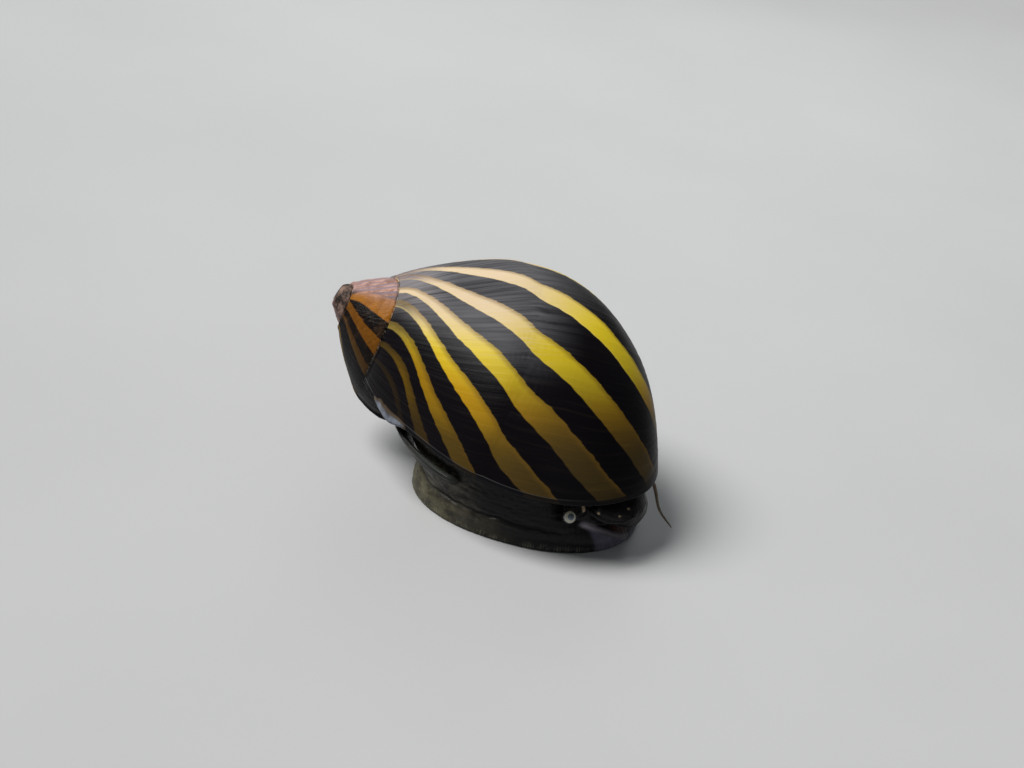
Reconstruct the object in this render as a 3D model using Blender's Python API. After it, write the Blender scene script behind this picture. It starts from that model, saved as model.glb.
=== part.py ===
"""Nerite snail, crawling: a still, life-size model.

Frame: +X is the way the head points, +Y the animal's left and +Z up, in metres.
The origin lies on the floor below the middle of the model. Sizes below are in mm.
"""
import math

import bmesh
import bpy
from mathutils import Vector

MM = 0.001

# Middle of the footprint, taken off every point so that the origin lies there
MIDDLE = (-0.101, -0.503)

# Gap that two touching solids keep
GAP = 0.30

# Shell: a coil round an axis from the apex, larger by WHORL_GROWTH with each turn
APEX = (-12.53, -0.82, 9.91)
AXIS_PITCH_DOWN = 25.7
AXIS_YAW_LEFT = 11.8
WHORL_GROWTH = 2.88
# The whorl's section at its top: distance from the axis, and distance along it
SUTURE_START = (2.97, 3.37)
SPIRE_HANDLES = ((4.00, 3.60), (8.30, 8.38))
SHOULDER_REACH = 0.55
FLANK_HANDLE = (10.65, 13.26)
FLANK_END = (8.39, 17.40)
BASE_REACH = 2.90
BASE_HANDLE = (4.60, 20.00)
BASE_ON_AXIS = 19.3
# Angle from the top towards the animal's right at which the last whorl ends
LIP_TURN = 125.0
SPIRE_BACK = 4.0
WHORL_COLUMNS = 54
SPIRE_COLUMNS = 36
SPIRE_ROWS = 9
FLANK_ROWS = 12
BASE_ROWS = 6
# Where the two shell solids meet on the axis, and how far down it the tip is worn
INNER_HUB = 3.4
SPIRE_HUB = INNER_HUB - GAP - 0.05
WORN_TIP = 0.6
TIP_DOME = 0.1

# Plane of the outer lip: its height over the origin, and its slopes along x and y
LIP_HEIGHT = 5.23
LIP_SLOPE_X = -0.081
LIP_SLOPE_Y = 0.095
# Between these angles each line along the coil comes down to the lip, and it runs on a little past it
LIP_SEARCH = (-30.0, 170.0)
LIP_SINK = 3.0
# For this share of the flank the inner wall begins earlier than the last whorl, by up to this angle
WALL_LEAN = 26.0
LEAN_SHARE = 0.9
# Behind and right of this place the shell's belly hangs below the lip's plane, with these slopes
BELLY_CORNER = (-6.4, 4.0)
BELLY_SLOPE_X = 4.0
BELLY_SLOPE_Y = 0.43
# Half the side of the cutter below the shell
FAR = 30.0

# Outlines seen from above: rear, front, right and left limits, and where each is widest
SOLE_EDGE = dict(rear=-4.55, front=10.15, right=-8.55, left=3.10, wide_x=2.8, wide_y=-2.7)
FOOT_LOW = dict(rear=-3.30, front=9.30, right=-8.05, left=2.50, wide_x=2.8, wide_y=-2.8)
FOOT_TOP = dict(rear=-5.65, front=9.10, right=-8.35, left=0.70, wide_x=2.3, wide_y=-3.8)
MANTLE = dict(rear=-5.75, front=9.40, right=-8.60, left=0.95, wide_x=2.3, wide_y=-3.8)
AROUND = 44

# Foot: the sole's band, and the upper part above the groove round it
SOLE_BAND_TOP = 1.25
FOOT_BOTTOM = 1.52
FOOT_UNDER_LIP = 0.65
# Rings of the foot: how far up it each is, and how far out or in
FOOT_STEPS = ((0.0, -0.15), (0.12, 0.0), (0.45, 0.0), (0.8, 0.0), (1.0, -0.1))
# Rings of the sole's band: height, and how far out or in
SOLE_STEPS = ((0.0, -0.12), (0.12, 0.0), (0.40, 0.02), (0.75, -0.02), (1.05, -0.10), (SOLE_BAND_TOP, -0.30))
SOLE_SQUARENESS = 2.15
MANTLE_UNDER_LIP = 0.35
MANTLE_ROUNDING = (0.12, 0.2)
# Recess in the shell: straight for a little over the lip, then tapered to its roof
RECESS_STRAIGHT = 0.3
RECESS_DEPTH = 1.60
RECESS_TAPER = 1.90
LOBE_AT_X = 7.6
NECK_AT_X = 5.45

# Operculum: a curved plate behind and beside the top of the foot
LID_FROM_ANGLE = 112.0
LID_TO_ANGLE = 248.0
LID_THICK = 0.50
LID_STEPS = 22
# Its middle and half height, as shares of the foot's height
LID_MIDDLE = 0.68
LID_HALF_HEIGHT = 0.28
# Its ends are closed at this share of the way in from a point
LID_END = 0.06
LID_PROFILE = ((-1, 0.10), (-1, 0.9), (-0.4, 1.0), (0.4, 1.0), (1, 0.9), (1, 0.10))

# Head: rings of a blunt snout, as x, middle y, middle z, half width and half height
SNOUT = ((5.0, -4.15, 2.62, 2.45, 1.02), (6.8, -4.15, 2.60, 2.45, 1.00), (8.3, -4.20, 2.58, 2.40, 0.98),
         (9.4, -4.30, 2.52, 2.15, 0.92), (10.1, -4.38, 2.45, 1.65, 0.78), (10.42, -4.40, 2.40, 0.95, 0.50))
HEAD_MIDDLE_Y = -4.20
SNOUT_ROUND = 20
SNOUT_POWER = 0.8
# Slit of the mouth, low on the snout's front: its place from the snout's tip, and half sizes
MOUTH_AT = (0.05, 0.0, -0.35)
MOUTH_HALF = (0.35, 0.16, 0.42)
EYE_RADIUS = 0.42
EYE_OUT = 3.80
EYE_AT = (6.53, 2.68)
STALK_ROOT = (6.70, 2.55, 2.85)
STALK_RADII = (0.46, 0.40)

# Feelers: route of each as x, y, z, with the radius at the root and at the tip
FEELER_RADII = (0.34, 0.10)
FEELER_LENGTHS = ("root", "middle", "tip")
FEELER_RINGS = 8
SPLINE_STEPS = 6
STALK_RINGS = 4
RIGHT_FEELER = ((7.75, -6.78, 2.95), (7.70, -7.55, 3.20), (8.60, -7.75, 2.95), (9.55, -7.00, 2.75),
                (10.25, -5.95, 2.90))
LEFT_FEELER = ((7.95, -1.50, 2.95), (8.90, -0.80, 3.15), (10.15, -1.00, 2.75), (10.95, -1.45, 1.30),
               (12.00, -1.80, 0.45))


def bezier(points, u):
    """A point of a cubic Bezier curve in the section's plane."""
    weights = ((1 - u) ** 3, 3 * (1 - u) ** 2 * u, 3 * (1 - u) * u * u, u ** 3)
    return tuple(sum(w * p[k] for w, p in zip(weights, points)) for k in (0, 1))


def beyond(handle, end, reach):
    """The next curve's first handle, straight on from the end of the last curve."""
    dx, dz = end[0] - handle[0], end[1] - handle[1]
    size = math.hypot(dx, dz)
    return end[0] + dx / size * reach, end[1] + dz / size * reach


SHOULDER = tuple(WHORL_GROWTH * c for c in SUTURE_START)
BARE_CURVE = (SUTURE_START, *SPIRE_HANDLES, SHOULDER)
FLANK_CURVE = (SHOULDER, beyond(SPIRE_HANDLES[1], SHOULDER, SHOULDER_REACH), FLANK_HANDLE, FLANK_END)
BASE_CURVE = (FLANK_END, beyond(FLANK_HANDLE, FLANK_END, BASE_REACH), BASE_HANDLE, (0.0, BASE_ON_AXIS))


def axis_frame():
    """The coil's axis, and the two directions across it: upward and to the animal's right."""
    pitch, yaw = math.radians(AXIS_PITCH_DOWN), math.radians(AXIS_YAW_LEFT)
    axis = Vector((math.cos(pitch) * math.cos(yaw), math.cos(pitch) * math.sin(yaw), -math.sin(pitch)))
    up = (Vector((0, 0, 1)) - axis * axis.z).normalized()
    return axis, up, up.cross(axis).normalized() * -1


AXIS, AXIS_UP, AXIS_RIGHT = axis_frame()


def on_axis(along):
    return Vector(APEX) + AXIS * along


def growth_at(turn):
    return WHORL_GROWTH ** (turn / 360.0)


def on_coil(section_point, turn):
    """A section point carried to an angle round the axis."""
    out = section_point[0] * growth_at(turn)
    along = max(section_point[1] * growth_at(turn), WORN_TIP)
    angle = math.radians(turn)
    return on_axis(along) + AXIS_UP * (out * math.cos(angle)) + AXIS_RIGHT * (out * math.sin(angle))


def lip_plane(x, y):
    return LIP_HEIGHT + LIP_SLOPE_X * x + LIP_SLOPE_Y * y


def lip_turn(section_point):
    """The angle at which a line along the coil comes down to the lip's plane."""
    above, below = LIP_SEARCH
    for _ in range(40):
        middle = (above + below) / 2
        point = on_coil(section_point, middle)
        if point.z > lip_plane(point.x, point.y):
            above = middle
        else:
            below = middle
    return above


def place(point):
    return Vector((point[0] - MIDDLE[0], point[1] - MIDDLE[1], point[2])) * MM


def new_object(name, bm, colour, roughness):
    """A scene object with its own material, from a mesh in metres."""
    bmesh.ops.recalc_face_normals(bm, faces=bm.faces)
    mesh = bpy.data.meshes.new(name)
    bm.to_mesh(mesh)
    bm.free()
    mesh.shade_smooth()
    obj = bpy.data.objects.new(name, mesh)
    bpy.context.scene.collection.objects.link(obj)
    material = bpy.data.materials.new(name)
    material.use_nodes = True
    shader = material.node_tree.nodes["Principled BSDF"]
    shader.inputs["Base Color"].default_value = (*colour, 1)
    shader.inputs["Roughness"].default_value = roughness
    mesh.materials.append(material)
    return obj


def loft(rings):
    """A closed skin over rings of points, with a flat or slightly domed face at each end."""
    bm = bmesh.new()
    grid = [[bm.verts.new(place(p)) for p in ring] for ring in rings]
    count = len(grid[0])
    for a, b in zip(grid, grid[1:]):
        for i in range(count):
            j = (i + 1) % count
            bm.faces.new((a[i], a[j], b[j], b[i]))
    bm.faces.new(grid[0][::-1])
    bm.faces.new(grid[-1])
    return bm


def halve(bm, x, keep_front):
    """Cut a mesh at a plane across X, keep one side of it and close the cut."""
    normal = Vector((-1, 0, 0)) if keep_front else Vector((1, 0, 0))
    everything = bm.verts[:] + bm.edges[:] + bm.faces[:]
    cut = bmesh.ops.bisect_plane(bm, geom=everything, plane_co=place((x, 0, 0)), plane_no=normal,
                                 clear_outer=True)
    edges = [g for g in cut["geom_cut"] if isinstance(g, bmesh.types.BMEdge)]
    bmesh.ops.contextual_create(bm, geom=edges)
    return bm


def keep_largest(bm):
    """Leave only the largest closed surface of a mesh."""
    left, surfaces = set(bm.faces), []
    while left:
        stack, surface = [left.pop()], []
        while stack:
            face = stack.pop()
            surface.append(face)
            for edge in face.edges:
                for other in edge.link_faces:
                    if other in left:
                        left.remove(other)
                        stack.append(other)
        surfaces.append(surface)
    surfaces.sort(key=lambda faces: sum(f.calc_area() for f in faces))
    for surface in surfaces[:-1]:
        bmesh.ops.delete(bm, geom=surface, context="FACES")


def ladder(bm, left, right):
    """Triangles between two lines of vertices that share their first one."""
    i = j = 0
    while i < len(left) - 1 or j < len(right) - 1:
        ahead_left = (i + 1) / (len(left) - 1) if i < len(left) - 1 else math.inf
        ahead_right = (j + 1) / (len(right) - 1) if j < len(right) - 1 else math.inf
        if ahead_left <= ahead_right:
            corners = (left[i], left[i + 1], right[j])
            i += 1
        else:
            corners = (left[i], right[j + 1], right[j])
            j += 1
        if len(set(corners)) == 3:
            bm.faces.new(corners)


def cut_away(obj, cutter):
    """Take one closed solid off another; the cutter is removed."""
    modifier = obj.modifiers.new("cut", "BOOLEAN")
    modifier.operation = "DIFFERENCE"
    modifier.solver = "EXACT"
    modifier.object = cutter
    depsgraph = bpy.context.evaluated_depsgraph_get()
    bm = bmesh.new()
    bm.from_mesh(obj.evaluated_get(depsgraph).to_mesh())
    keep_largest(bm)
    obj.modifiers.clear()
    bm.to_mesh(obj.data)
    bm.free()
    obj.data.shade_smooth()
    bpy.data.objects.remove(cutter)


def signed_power(value, power):
    return math.copysign(abs(value) ** power, value)


def outline_point(shape, degrees, grow=0.0, square=2.0):
    """A point of an oval that reaches its four limits, at an angle from the front."""
    angle = math.radians(degrees)
    c, s = signed_power(math.cos(angle), 2 / square), signed_power(math.sin(angle), 2 / square)
    reach_x = (shape["front"] - shape["wide_x"] if c > 0 else shape["wide_x"] - shape["rear"]) + grow
    reach_y = (shape["left"] - shape["wide_y"] if s > 0 else shape["wide_y"] - shape["right"]) + grow
    return shape["wide_x"] + reach_x * c, shape["wide_y"] + reach_y * s


def between(low, high, share):
    return {key: low[key] + (high[key] - low[key]) * share for key in low}


def ring(shape, height, grow=0.0, square=2.0):
    """A ring round an oval; height is a number or a function of x and y."""
    points = []
    for i in range(AROUND):
        x, y = outline_point(shape, 360 * i / AROUND, grow, square)
        points.append((x, y, height(x, y) if callable(height) else height))
    return points


def below_the_lip():
    """A solid that fills everything under the lip's plane except the room for the belly."""
    corners = ((FAR, FAR), (-FAR, FAR), (-FAR, -FAR), (FAR, -FAR))
    levels = [[(x, y, lip_plane(x, y) - drop) for x, y in corners] for drop in (FAR, 0)]
    lower = new_object("cutter", loft(levels), (1, 1, 1), 1)
    start_x, start_y = BELLY_CORNER
    reach = BELLY_SLOPE_Y * (start_y + FAR)
    floor = ((start_x, start_y, 0), (start_x, -FAR, 0), (start_x - reach / BELLY_SLOPE_X, -FAR, reach),
             (-FAR, -FAR, reach), (-FAR, start_y, 0))
    room = bmesh.new()
    for x, y, drop in floor:
        for height in (lip_plane(x, y) - drop, lip_plane(x, y) + 1):
            room.verts.new(place((x, y, height)))
    bmesh.ops.convex_hull(room, input=room.verts)
    cut_away(lower, new_object("room", room, (1, 1, 1), 1))
    return lower


def shell_body_whorl():
    """The last turn of the coil, cut at the plane of its lip, with a recess for the flesh."""
    section = [bezier(BARE_CURVE, i / SPIRE_ROWS) for i in range(SPIRE_ROWS)]
    section += [bezier(FLANK_CURVE, i / FLANK_ROWS) for i in range(FLANK_ROWS)]
    section += [bezier(BASE_CURVE, i / BASE_ROWS) for i in range(BASE_ROWS + 1)]
    rows = range(len(section))
    down = [min(max(i - SPIRE_ROWS, 0) / FLANK_ROWS / LEAN_SHARE, 1) for i in rows]
    starts = [LIP_TURN - 360 - WALL_LEAN * math.sin(math.pi * share) for share in down]
    ends = [LIP_TURN] + [lip_turn(section[i]) + LIP_SINK * i / len(section) for i in rows[1:]]
    bm = bmesh.new()
    grid = []
    for j in range(WHORL_COLUMNS + 1):
        turns = [start + (end - start) * j / WHORL_COLUMNS for start, end in zip(starts, ends)]
        grid.append([bm.verts.new(place(on_coil(p, turn))) for p, turn in zip(section, turns)])
    # The end of the suture is the shoulder of the first column
    bm.verts.remove(grid[-1][0])
    grid[-1][0] = grid[0][SPIRE_ROWS]
    for a, b in zip(grid, grid[1:]):
        for i in range(len(section) - 1):
            bm.faces.new((a[i], a[i + 1], b[i + 1], b[i]))
    # The wall from the first column to the lip, and its end along the axis
    first, last = grid[0][SPIRE_ROWS:], grid[-1]
    ladder(bm, first[:-1], last[:-1])
    bm.faces.new([first[-2]] + [column[-1] for column in grid] + [last[-2]])
    # The side towards the spire
    hub = bm.verts.new(place(on_axis(INNER_HUB)))
    edge = [column[0] for column in grid] + grid[0][SPIRE_ROWS - 1:0:-1]
    for a, b in zip(edge, edge[1:] + edge[:1]):
        bm.faces.new((a, b, hub))
    whorl = new_object("shell_body_whorl", bm, (0.30, 0.21, 0.05), 0.25)
    cut_away(whorl, below_the_lip())
    recess = [ring(MANTLE, lambda x, y: lip_plane(x, y) - 1, GAP),
              ring(MANTLE, lambda x, y: lip_plane(x, y) + RECESS_STRAIGHT, GAP),
              ring(MANTLE, lambda x, y: lip_plane(x, y) + RECESS_DEPTH, GAP - RECESS_TAPER)]
    cut_away(whorl, new_object("cutter", loft(recess), (1, 1, 1), 1))


def shell_spire():
    """The two turns before the last, where they are bare, closed at the worn tip."""
    end = LIP_TURN - SPIRE_BACK - 360
    turns = [end + 360 * (j / SPIRE_COLUMNS - 2) for j in range(2 * SPIRE_COLUMNS + 1)]
    speed = 3 * math.dist(SPIRE_HANDLES[1], SHOULDER)
    bm = bmesh.new()
    grid = []
    for j, turn in enumerate(turns):
        inner = j < SPIRE_COLUMNS
        last = 1 if inner else 1 - GAP / (speed * growth_at(turn))
        column = [bm.verts.new(place(on_coil(bezier(BARE_CURVE, last * i / SPIRE_ROWS), turn)))
                  for i in range(1 if not inner else 0, SPIRE_ROWS + 1)]
        # An outer turn starts at the shoulder of the turn inside it
        grid.append(column if inner else [grid[j - SPIRE_COLUMNS][-1]] + column)
    for a, b in zip(grid, grid[1:]):
        for i in range(SPIRE_ROWS):
            bm.faces.new((a[i], a[i + 1], b[i + 1], b[i]))
    tip = bm.verts.new(place(on_axis(WORN_TIP - TIP_DOME)))
    hub = bm.verts.new(place(on_axis(SPIRE_HUB)))
    inner_edge = [column[0] for column in grid[:SPIRE_COLUMNS + 1]] + grid[0][-2:0:-1]
    outer_edge = [column[-1] for column in grid[SPIRE_COLUMNS:]] + grid[-1][-2:0:-1]
    for loop, point in ((inner_edge, tip), (outer_edge, hub)):
        for a, b in zip(loop, loop[1:] + loop[:1]):
            bm.faces.new((a, b, point))
    new_object("shell_spire", bm, (0.35, 0.20, 0.12), 0.4)


def mantle():
    """The mantle that fills the recess and shows as a dark rim inside the lip."""
    inward, upward = MANTLE_ROUNDING
    rings = [ring(MANTLE, lambda x, y: lip_plane(x, y) - MANTLE_UNDER_LIP, -inward),
             ring(MANTLE, lambda x, y: lip_plane(x, y) - MANTLE_UNDER_LIP + upward),
             ring(MANTLE, lambda x, y: lip_plane(x, y) + RECESS_STRAIGHT),
             ring(MANTLE, lambda x, y: lip_plane(x, y) + RECESS_DEPTH - GAP, -RECESS_TAPER)]
    new_object("mantle", loft(rings), (0.02, 0.02, 0.02), 0.35)


def foot_rings():
    """Rings of the foot above the groove: narrow behind at first, then out to the mantle."""
    rings = []
    for share, flare in FOOT_STEPS:
        shape = between(FOOT_LOW, FOOT_TOP, share)

        def height(x, y, share=share):
            return FOOT_BOTTOM + (lip_plane(x, y) - FOOT_UNDER_LIP - FOOT_BOTTOM) * share

        rings.append(ring(shape, height, flare))
    return rings


def foot():
    new_object("foot", halve(loft(foot_rings()), NECK_AT_X, keep_front=False), (0.05, 0.05, 0.04), 0.4)


def sole_rings():
    """Rings of the sole's band, flat below, with a thin edge and a bulge over it."""
    return [ring(SOLE_EDGE, height, grow, SOLE_SQUARENESS) for height, grow in SOLE_STEPS]


def foot_sole():
    rear = halve(loft(sole_rings()), LOBE_AT_X - GAP / 2, keep_front=False)
    new_object("foot_sole", rear, (0.10, 0.10, 0.07), 0.45)
    front = halve(loft(sole_rings()), LOBE_AT_X + GAP / 2, keep_front=True)
    new_object("foot_front_lobe", front, (0.20, 0.18, 0.22), 0.45)


def operculum():
    """The lid that closes the shell, carried on the rear of the foot."""
    rings = []
    for i in range(LID_STEPS + 1):
        share = i / LID_STEPS
        angle = LID_FROM_ANGLE + (LID_TO_ANGLE - LID_FROM_ANGLE) * share
        taper = math.sqrt(math.sin(math.pi * min(max(share, LID_END), 1 - LID_END)))
        spots = []
        for height_share, out in LID_PROFILE:
            part = LID_MIDDLE + height_share * LID_HALF_HEIGHT * taper
            shape = between(FOOT_LOW, FOOT_TOP, part)
            x, y = outline_point(shape, angle, GAP + out * LID_THICK)
            top = lip_plane(x, y) - FOOT_UNDER_LIP
            spots.append((x, y, FOOT_BOTTOM + (top - FOOT_BOTTOM) * part))
        rings.append(spots)
    new_object("operculum", loft(rings), (0.16, 0.15, 0.11), 0.3)


def snout_ring(x, y, z, half_width, half_height):
    points = []
    for i in range(SNOUT_ROUND):
        angle = 2 * math.pi * i / SNOUT_ROUND
        points.append((x, y + half_width * signed_power(math.cos(angle), SNOUT_POWER),
                       z + half_height * signed_power(math.sin(angle), SNOUT_POWER)))
    return points


def head():
    """A blunt snout with the slit of the mouth low on its front."""
    snout = halve(loft([snout_ring(*r) for r in SNOUT]), NECK_AT_X + GAP, keep_front=True)
    obj = new_object("head", snout, (0.03, 0.025, 0.03), 0.35)
    slit = bmesh.new()
    bmesh.ops.create_uvsphere(slit, u_segments=12, v_segments=8, radius=1.0)
    for v in slit.verts:
        v.co = place([SNOUT[-1][k] + MOUTH_AT[k] + v.co[k] * MOUTH_HALF[k] for k in range(3)])
    cut_away(obj, new_object("cutter", slit, (1, 1, 1), 1))


def spline(points, steps):
    """A smooth line through points, with the given number of steps between each two."""
    spots = [Vector(p) for p in points]
    spots = [spots[0] * 2 - spots[1]] + spots + [spots[-1] * 2 - spots[-2]]
    line = []
    for a, b, c, d in zip(spots, spots[1:], spots[2:], spots[3:]):
        for i in range(steps):
            u = i / steps
            line.append(0.5 * (2 * b + (c - a) * u + (2 * a - 5 * b + 4 * c - d) * u ** 2
                               + (3 * b - a - 3 * c + d) * u ** 3))
    line.append(spots[-2])
    return line


def tube(line, radii, count=10):
    """A tapering round length along a line, with rounded ends."""
    rings = []
    for i, spot in enumerate(line):
        ahead = (line[min(i + 1, len(line) - 1)] - line[max(i - 1, 0)]).normalized()
        side = ahead.cross(Vector((0, 0, 1))).normalized()
        over = side.cross(ahead)
        angles = [2 * math.pi * k / count for k in range(count)]
        rings.append([spot + (side * math.cos(a) + over * math.sin(a)) * radii[i] for a in angles])
    return loft(rings)


def feeler(side, route):
    """One feeler in three lengths, root to tip, with a gap between them."""
    line = spline(route, SPLINE_STEPS)
    lengths = [0.0]
    for a, b in zip(line, line[1:]):
        lengths.append(lengths[-1] + (b - a).length)
    total = lengths[-1]
    count = len(FEELER_LENGTHS)
    for i, name in enumerate(FEELER_LENGTHS):
        start = total * i / count + (GAP / 2 if i else 0)
        end = total * (i + 1) / count - (GAP / 2 if i < count - 1 else 0)
        spots, radii = [], []
        for k in range(FEELER_RINGS):
            at = start + (end - start) * k / (FEELER_RINGS - 1)
            j = max(i for i in range(len(lengths) - 1) if lengths[i] <= at + 1e-9)
            share = (at - lengths[j]) / (lengths[j + 1] - lengths[j])
            spots.append(line[j].lerp(line[j + 1], share))
            radii.append(FEELER_RADII[0] + (FEELER_RADII[1] - FEELER_RADII[0]) * at / total)
        new_object(f"tentacle_{side}_{name}", tube(spots, radii), (0.05, 0.045, 0.04), 0.4)


def eye_and_stalk(side, sign):
    """An eye on a short stalk; sign is -1 on the animal's right."""
    eye = Vector((EYE_AT[0], HEAD_MIDDLE_Y + sign * EYE_OUT, EYE_AT[1]))
    root = Vector((STALK_ROOT[0], HEAD_MIDDLE_Y + sign * (STALK_ROOT[1] + GAP), STALK_ROOT[2]))
    end = eye + (root - eye).normalized() * (EYE_RADIUS + GAP)
    shares = [k / (STALK_RINGS - 1) for k in range(STALK_RINGS)]
    spots = [root.lerp(end, share) for share in shares]
    radii = [STALK_RADII[0] + (STALK_RADII[1] - STALK_RADII[0]) * share for share in shares]
    new_object(f"eyestalk_{side}", tube(spots, radii, 12), (0.10, 0.10, 0.11), 0.4)
    ball = bmesh.new()
    bmesh.ops.create_icosphere(ball, subdivisions=2, radius=EYE_RADIUS)
    for v in ball.verts:
        v.co = place(eye + v.co)
    new_object(f"eye_{side}", ball, (0.55, 0.52, 0.45), 0.15)


for old in list(bpy.data.objects):
    bpy.data.objects.remove(old)
shell_body_whorl()
shell_spire()
mantle()
foot()
foot_sole()
operculum()
head()
for side, sign, route in (("right", -1, RIGHT_FEELER), ("left", 1, LEFT_FEELER)):
    eye_and_stalk(side, sign)
    feeler(side, route)
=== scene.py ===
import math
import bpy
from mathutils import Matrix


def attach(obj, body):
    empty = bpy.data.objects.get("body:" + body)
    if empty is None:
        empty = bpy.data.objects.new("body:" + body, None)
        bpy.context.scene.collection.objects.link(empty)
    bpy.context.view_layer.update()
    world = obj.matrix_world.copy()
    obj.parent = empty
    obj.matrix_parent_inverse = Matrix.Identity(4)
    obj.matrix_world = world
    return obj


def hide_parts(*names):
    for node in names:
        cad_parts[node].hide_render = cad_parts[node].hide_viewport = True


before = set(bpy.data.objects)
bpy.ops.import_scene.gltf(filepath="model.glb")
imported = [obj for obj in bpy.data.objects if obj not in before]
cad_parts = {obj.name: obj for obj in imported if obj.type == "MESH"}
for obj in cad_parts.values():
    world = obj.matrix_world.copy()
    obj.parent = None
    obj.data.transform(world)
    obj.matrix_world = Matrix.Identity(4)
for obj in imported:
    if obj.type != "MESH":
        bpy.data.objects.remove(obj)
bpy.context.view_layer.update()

# Nerite snail: a fine striped shell, one skin for all the flesh, two eyes and the lid.
# Lengths are in mm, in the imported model's frame before its middle is taken off; angles are in degrees.
from types import SimpleNamespace

import bmesh
import bpy
import numpy as np
from mathutils import Matrix, Vector

MM = 0.001
MIDDLE = np.array((-0.101, -0.503, 0.0))
RNG = np.random.default_rng(11)
# Further, in mm and along a section, than anything that is asked about
FAR = 9.0
# How often a search halves what is left
HALVINGS = 40

# The coil: the same numbers as the solids'
APEX = np.array((-12.53, -0.82, 9.91))
AXIS_PITCH_DOWN = 25.7
AXIS_YAW_LEFT = 11.8
WHORL_GROWTH = 2.88
SUTURE_START = np.array((2.97, 3.37))
SPIRE_HANDLES = (np.array((4.00, 3.60)), np.array((8.30, 8.38)))
SHOULDER_REACH = 0.55
FLANK_HANDLE = np.array((10.65, 13.26))
FLANK_END = np.array((8.39, 17.40))
BASE_REACH = 2.90
BASE_HANDLE = np.array((4.60, 20.00))
BASE_END = np.array((0.0, 19.3))
LIP_TURN = 125.0
FIRST_TURN = LIP_TURN - 360
SPIRE_TURNS = 2
WORN_TIP, TIP_RISE = 0.6, 0.02
LIP_HEIGHT, LIP_SLOPE_X, LIP_SLOPE_Y = 5.23, -0.081, 0.095
BELLY_CORNER = (-6.4, 4.0)
BELLY_SLOPE_X, BELLY_SLOPE_Y = 4.0, 0.43

# How far the lip's thin rim stands out
LIP_BEAD = 0.09
# The pearly pad: where it starts and ends, measured along the lip's edge from the junction, and its reach
PAD_FROM, PAD_TO, PAD_WIDTH = 2.3, 5.6, 0.72
PAD_LIFT = 0.07
# Below the pad the lip's edge hangs lower: where, how wide and how deep
PAD_FOOT, PAD_FOOT_WIDTH, PAD_FOOT_DROP = (-6.0, -6.1), 1.2, 0.50
# The wall at the first column leans in by this much turn, and the recess stays clear of the mantle
WALL_LEAN = 22.0
RECESS_CLEARANCE = 0.06

# Fineness of the shell's mesh: columns in a turn, rows from the suture to the lip, steps round the
# lower edge and steps across the underside
COLUMNS = 480
ROWS = 150
ROUND_STEPS, UNDER_STEPS = 8, 26

SOLE_EDGE = dict(rear=-4.55, front=10.15, right=-8.55, left=3.10, wide_x=2.8, wide_y=-2.7)
FOOT_LOW = dict(rear=-3.30, front=9.30, right=-8.05, left=2.50, wide_x=2.8, wide_y=-2.8)
FOOT_TOP = dict(rear=-5.65, front=9.10, right=-8.35, left=0.70, wide_x=2.3, wide_y=-3.8)
MANTLE = dict(rear=-5.75, front=9.40, right=-8.60, left=0.95, wide_x=2.3, wide_y=-3.8)
FOOT_BOTTOM = 1.52
FOOT_UNDER_LIP = 0.65
MANTLE_UNDER_LIP = 0.35
RECESS_STRAIGHT, RECESS_DEPTH, RECESS_TAPER = 0.3, 1.60, 1.90
SNOUT = ((5.0, -4.15, 2.62, 2.45, 1.02), (6.8, -4.15, 2.60, 2.45, 1.00), (8.3, -4.20, 2.58, 2.40, 0.98),
         (9.4, -4.30, 2.52, 2.15, 0.92), (10.1, -4.38, 2.45, 1.65, 0.78), (10.42, -4.40, 2.40, 0.95, 0.50))
HEAD_MIDDLE_Y = -4.20
EYE_RADIUS = 0.42
EYE_OUT = 3.80
EYE_AT = (6.53, 2.68)
# The stalk's root, ahead, up and out from the head's middle, and its radius at shares of the way to the eye
STALK_ROOT, STALK_ROOT_OUT = (6.80, 2.85), 1.6
STALK = ((0.0, 0.85), (0.3, 0.72), (0.55, 0.58), (0.75, 0.47), (0.88, 0.44), (0.97, 0.36))
# The feelers are finer here than their solids
FEELER_RADII, FEELER_THINNED, FEELER_TIP = (0.34, 0.10), 0.64, 0.55
RIGHT_FEELER = ((7.75, -6.78, 2.95), (7.70, -7.55, 3.20), (8.60, -7.75, 2.95), (9.55, -7.00, 2.75),
                (10.25, -5.95, 2.90))
LEFT_FEELER = ((7.95, -1.50, 2.95), (8.90, -0.80, 3.15), (10.15, -1.00, 2.75), (10.95, -1.45, 1.30),
               (12.00, -1.80, 0.45))
LID_FROM_ANGLE, LID_TO_ANGLE = 112.0, 248.0
LID_THICK, LID_MIDDLE, LID_HALF_HEIGHT, LID_END, LID_GAP = 0.50, 0.68, 0.28, 0.06, 0.30
LID_STEPS, LID_AROUND = 150, 48
EYE_STEPS, EYE_AROUND = 48, 64


def smoothstep(low, high, x):
    u = np.clip((x - low) / (high - low), 0.0, 1.0)
    return u * u * (3 - 2 * u)


def soft_min(a, b, blend):
    return 0.5 * (a + b - np.sqrt((a - b) ** 2 + blend ** 2))


def soft_positive(a, blend):
    return 0.5 * (a + np.sqrt(a * a + blend ** 2))


def unit(vectors):
    """Vectors made one long."""
    return vectors / np.maximum(np.linalg.norm(vectors, axis=-1, keepdims=True), 1e-9)


def around(count):
    """Directions round a ring, as cosines and sines."""
    angle = 2 * math.pi * np.arange(count) / count
    return np.cos(angle), np.sin(angle)


def squared(wave, power):
    """A sine or cosine made fuller, for an oval with squarer corners."""
    return np.sign(wave) * np.abs(wave) ** power


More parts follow.
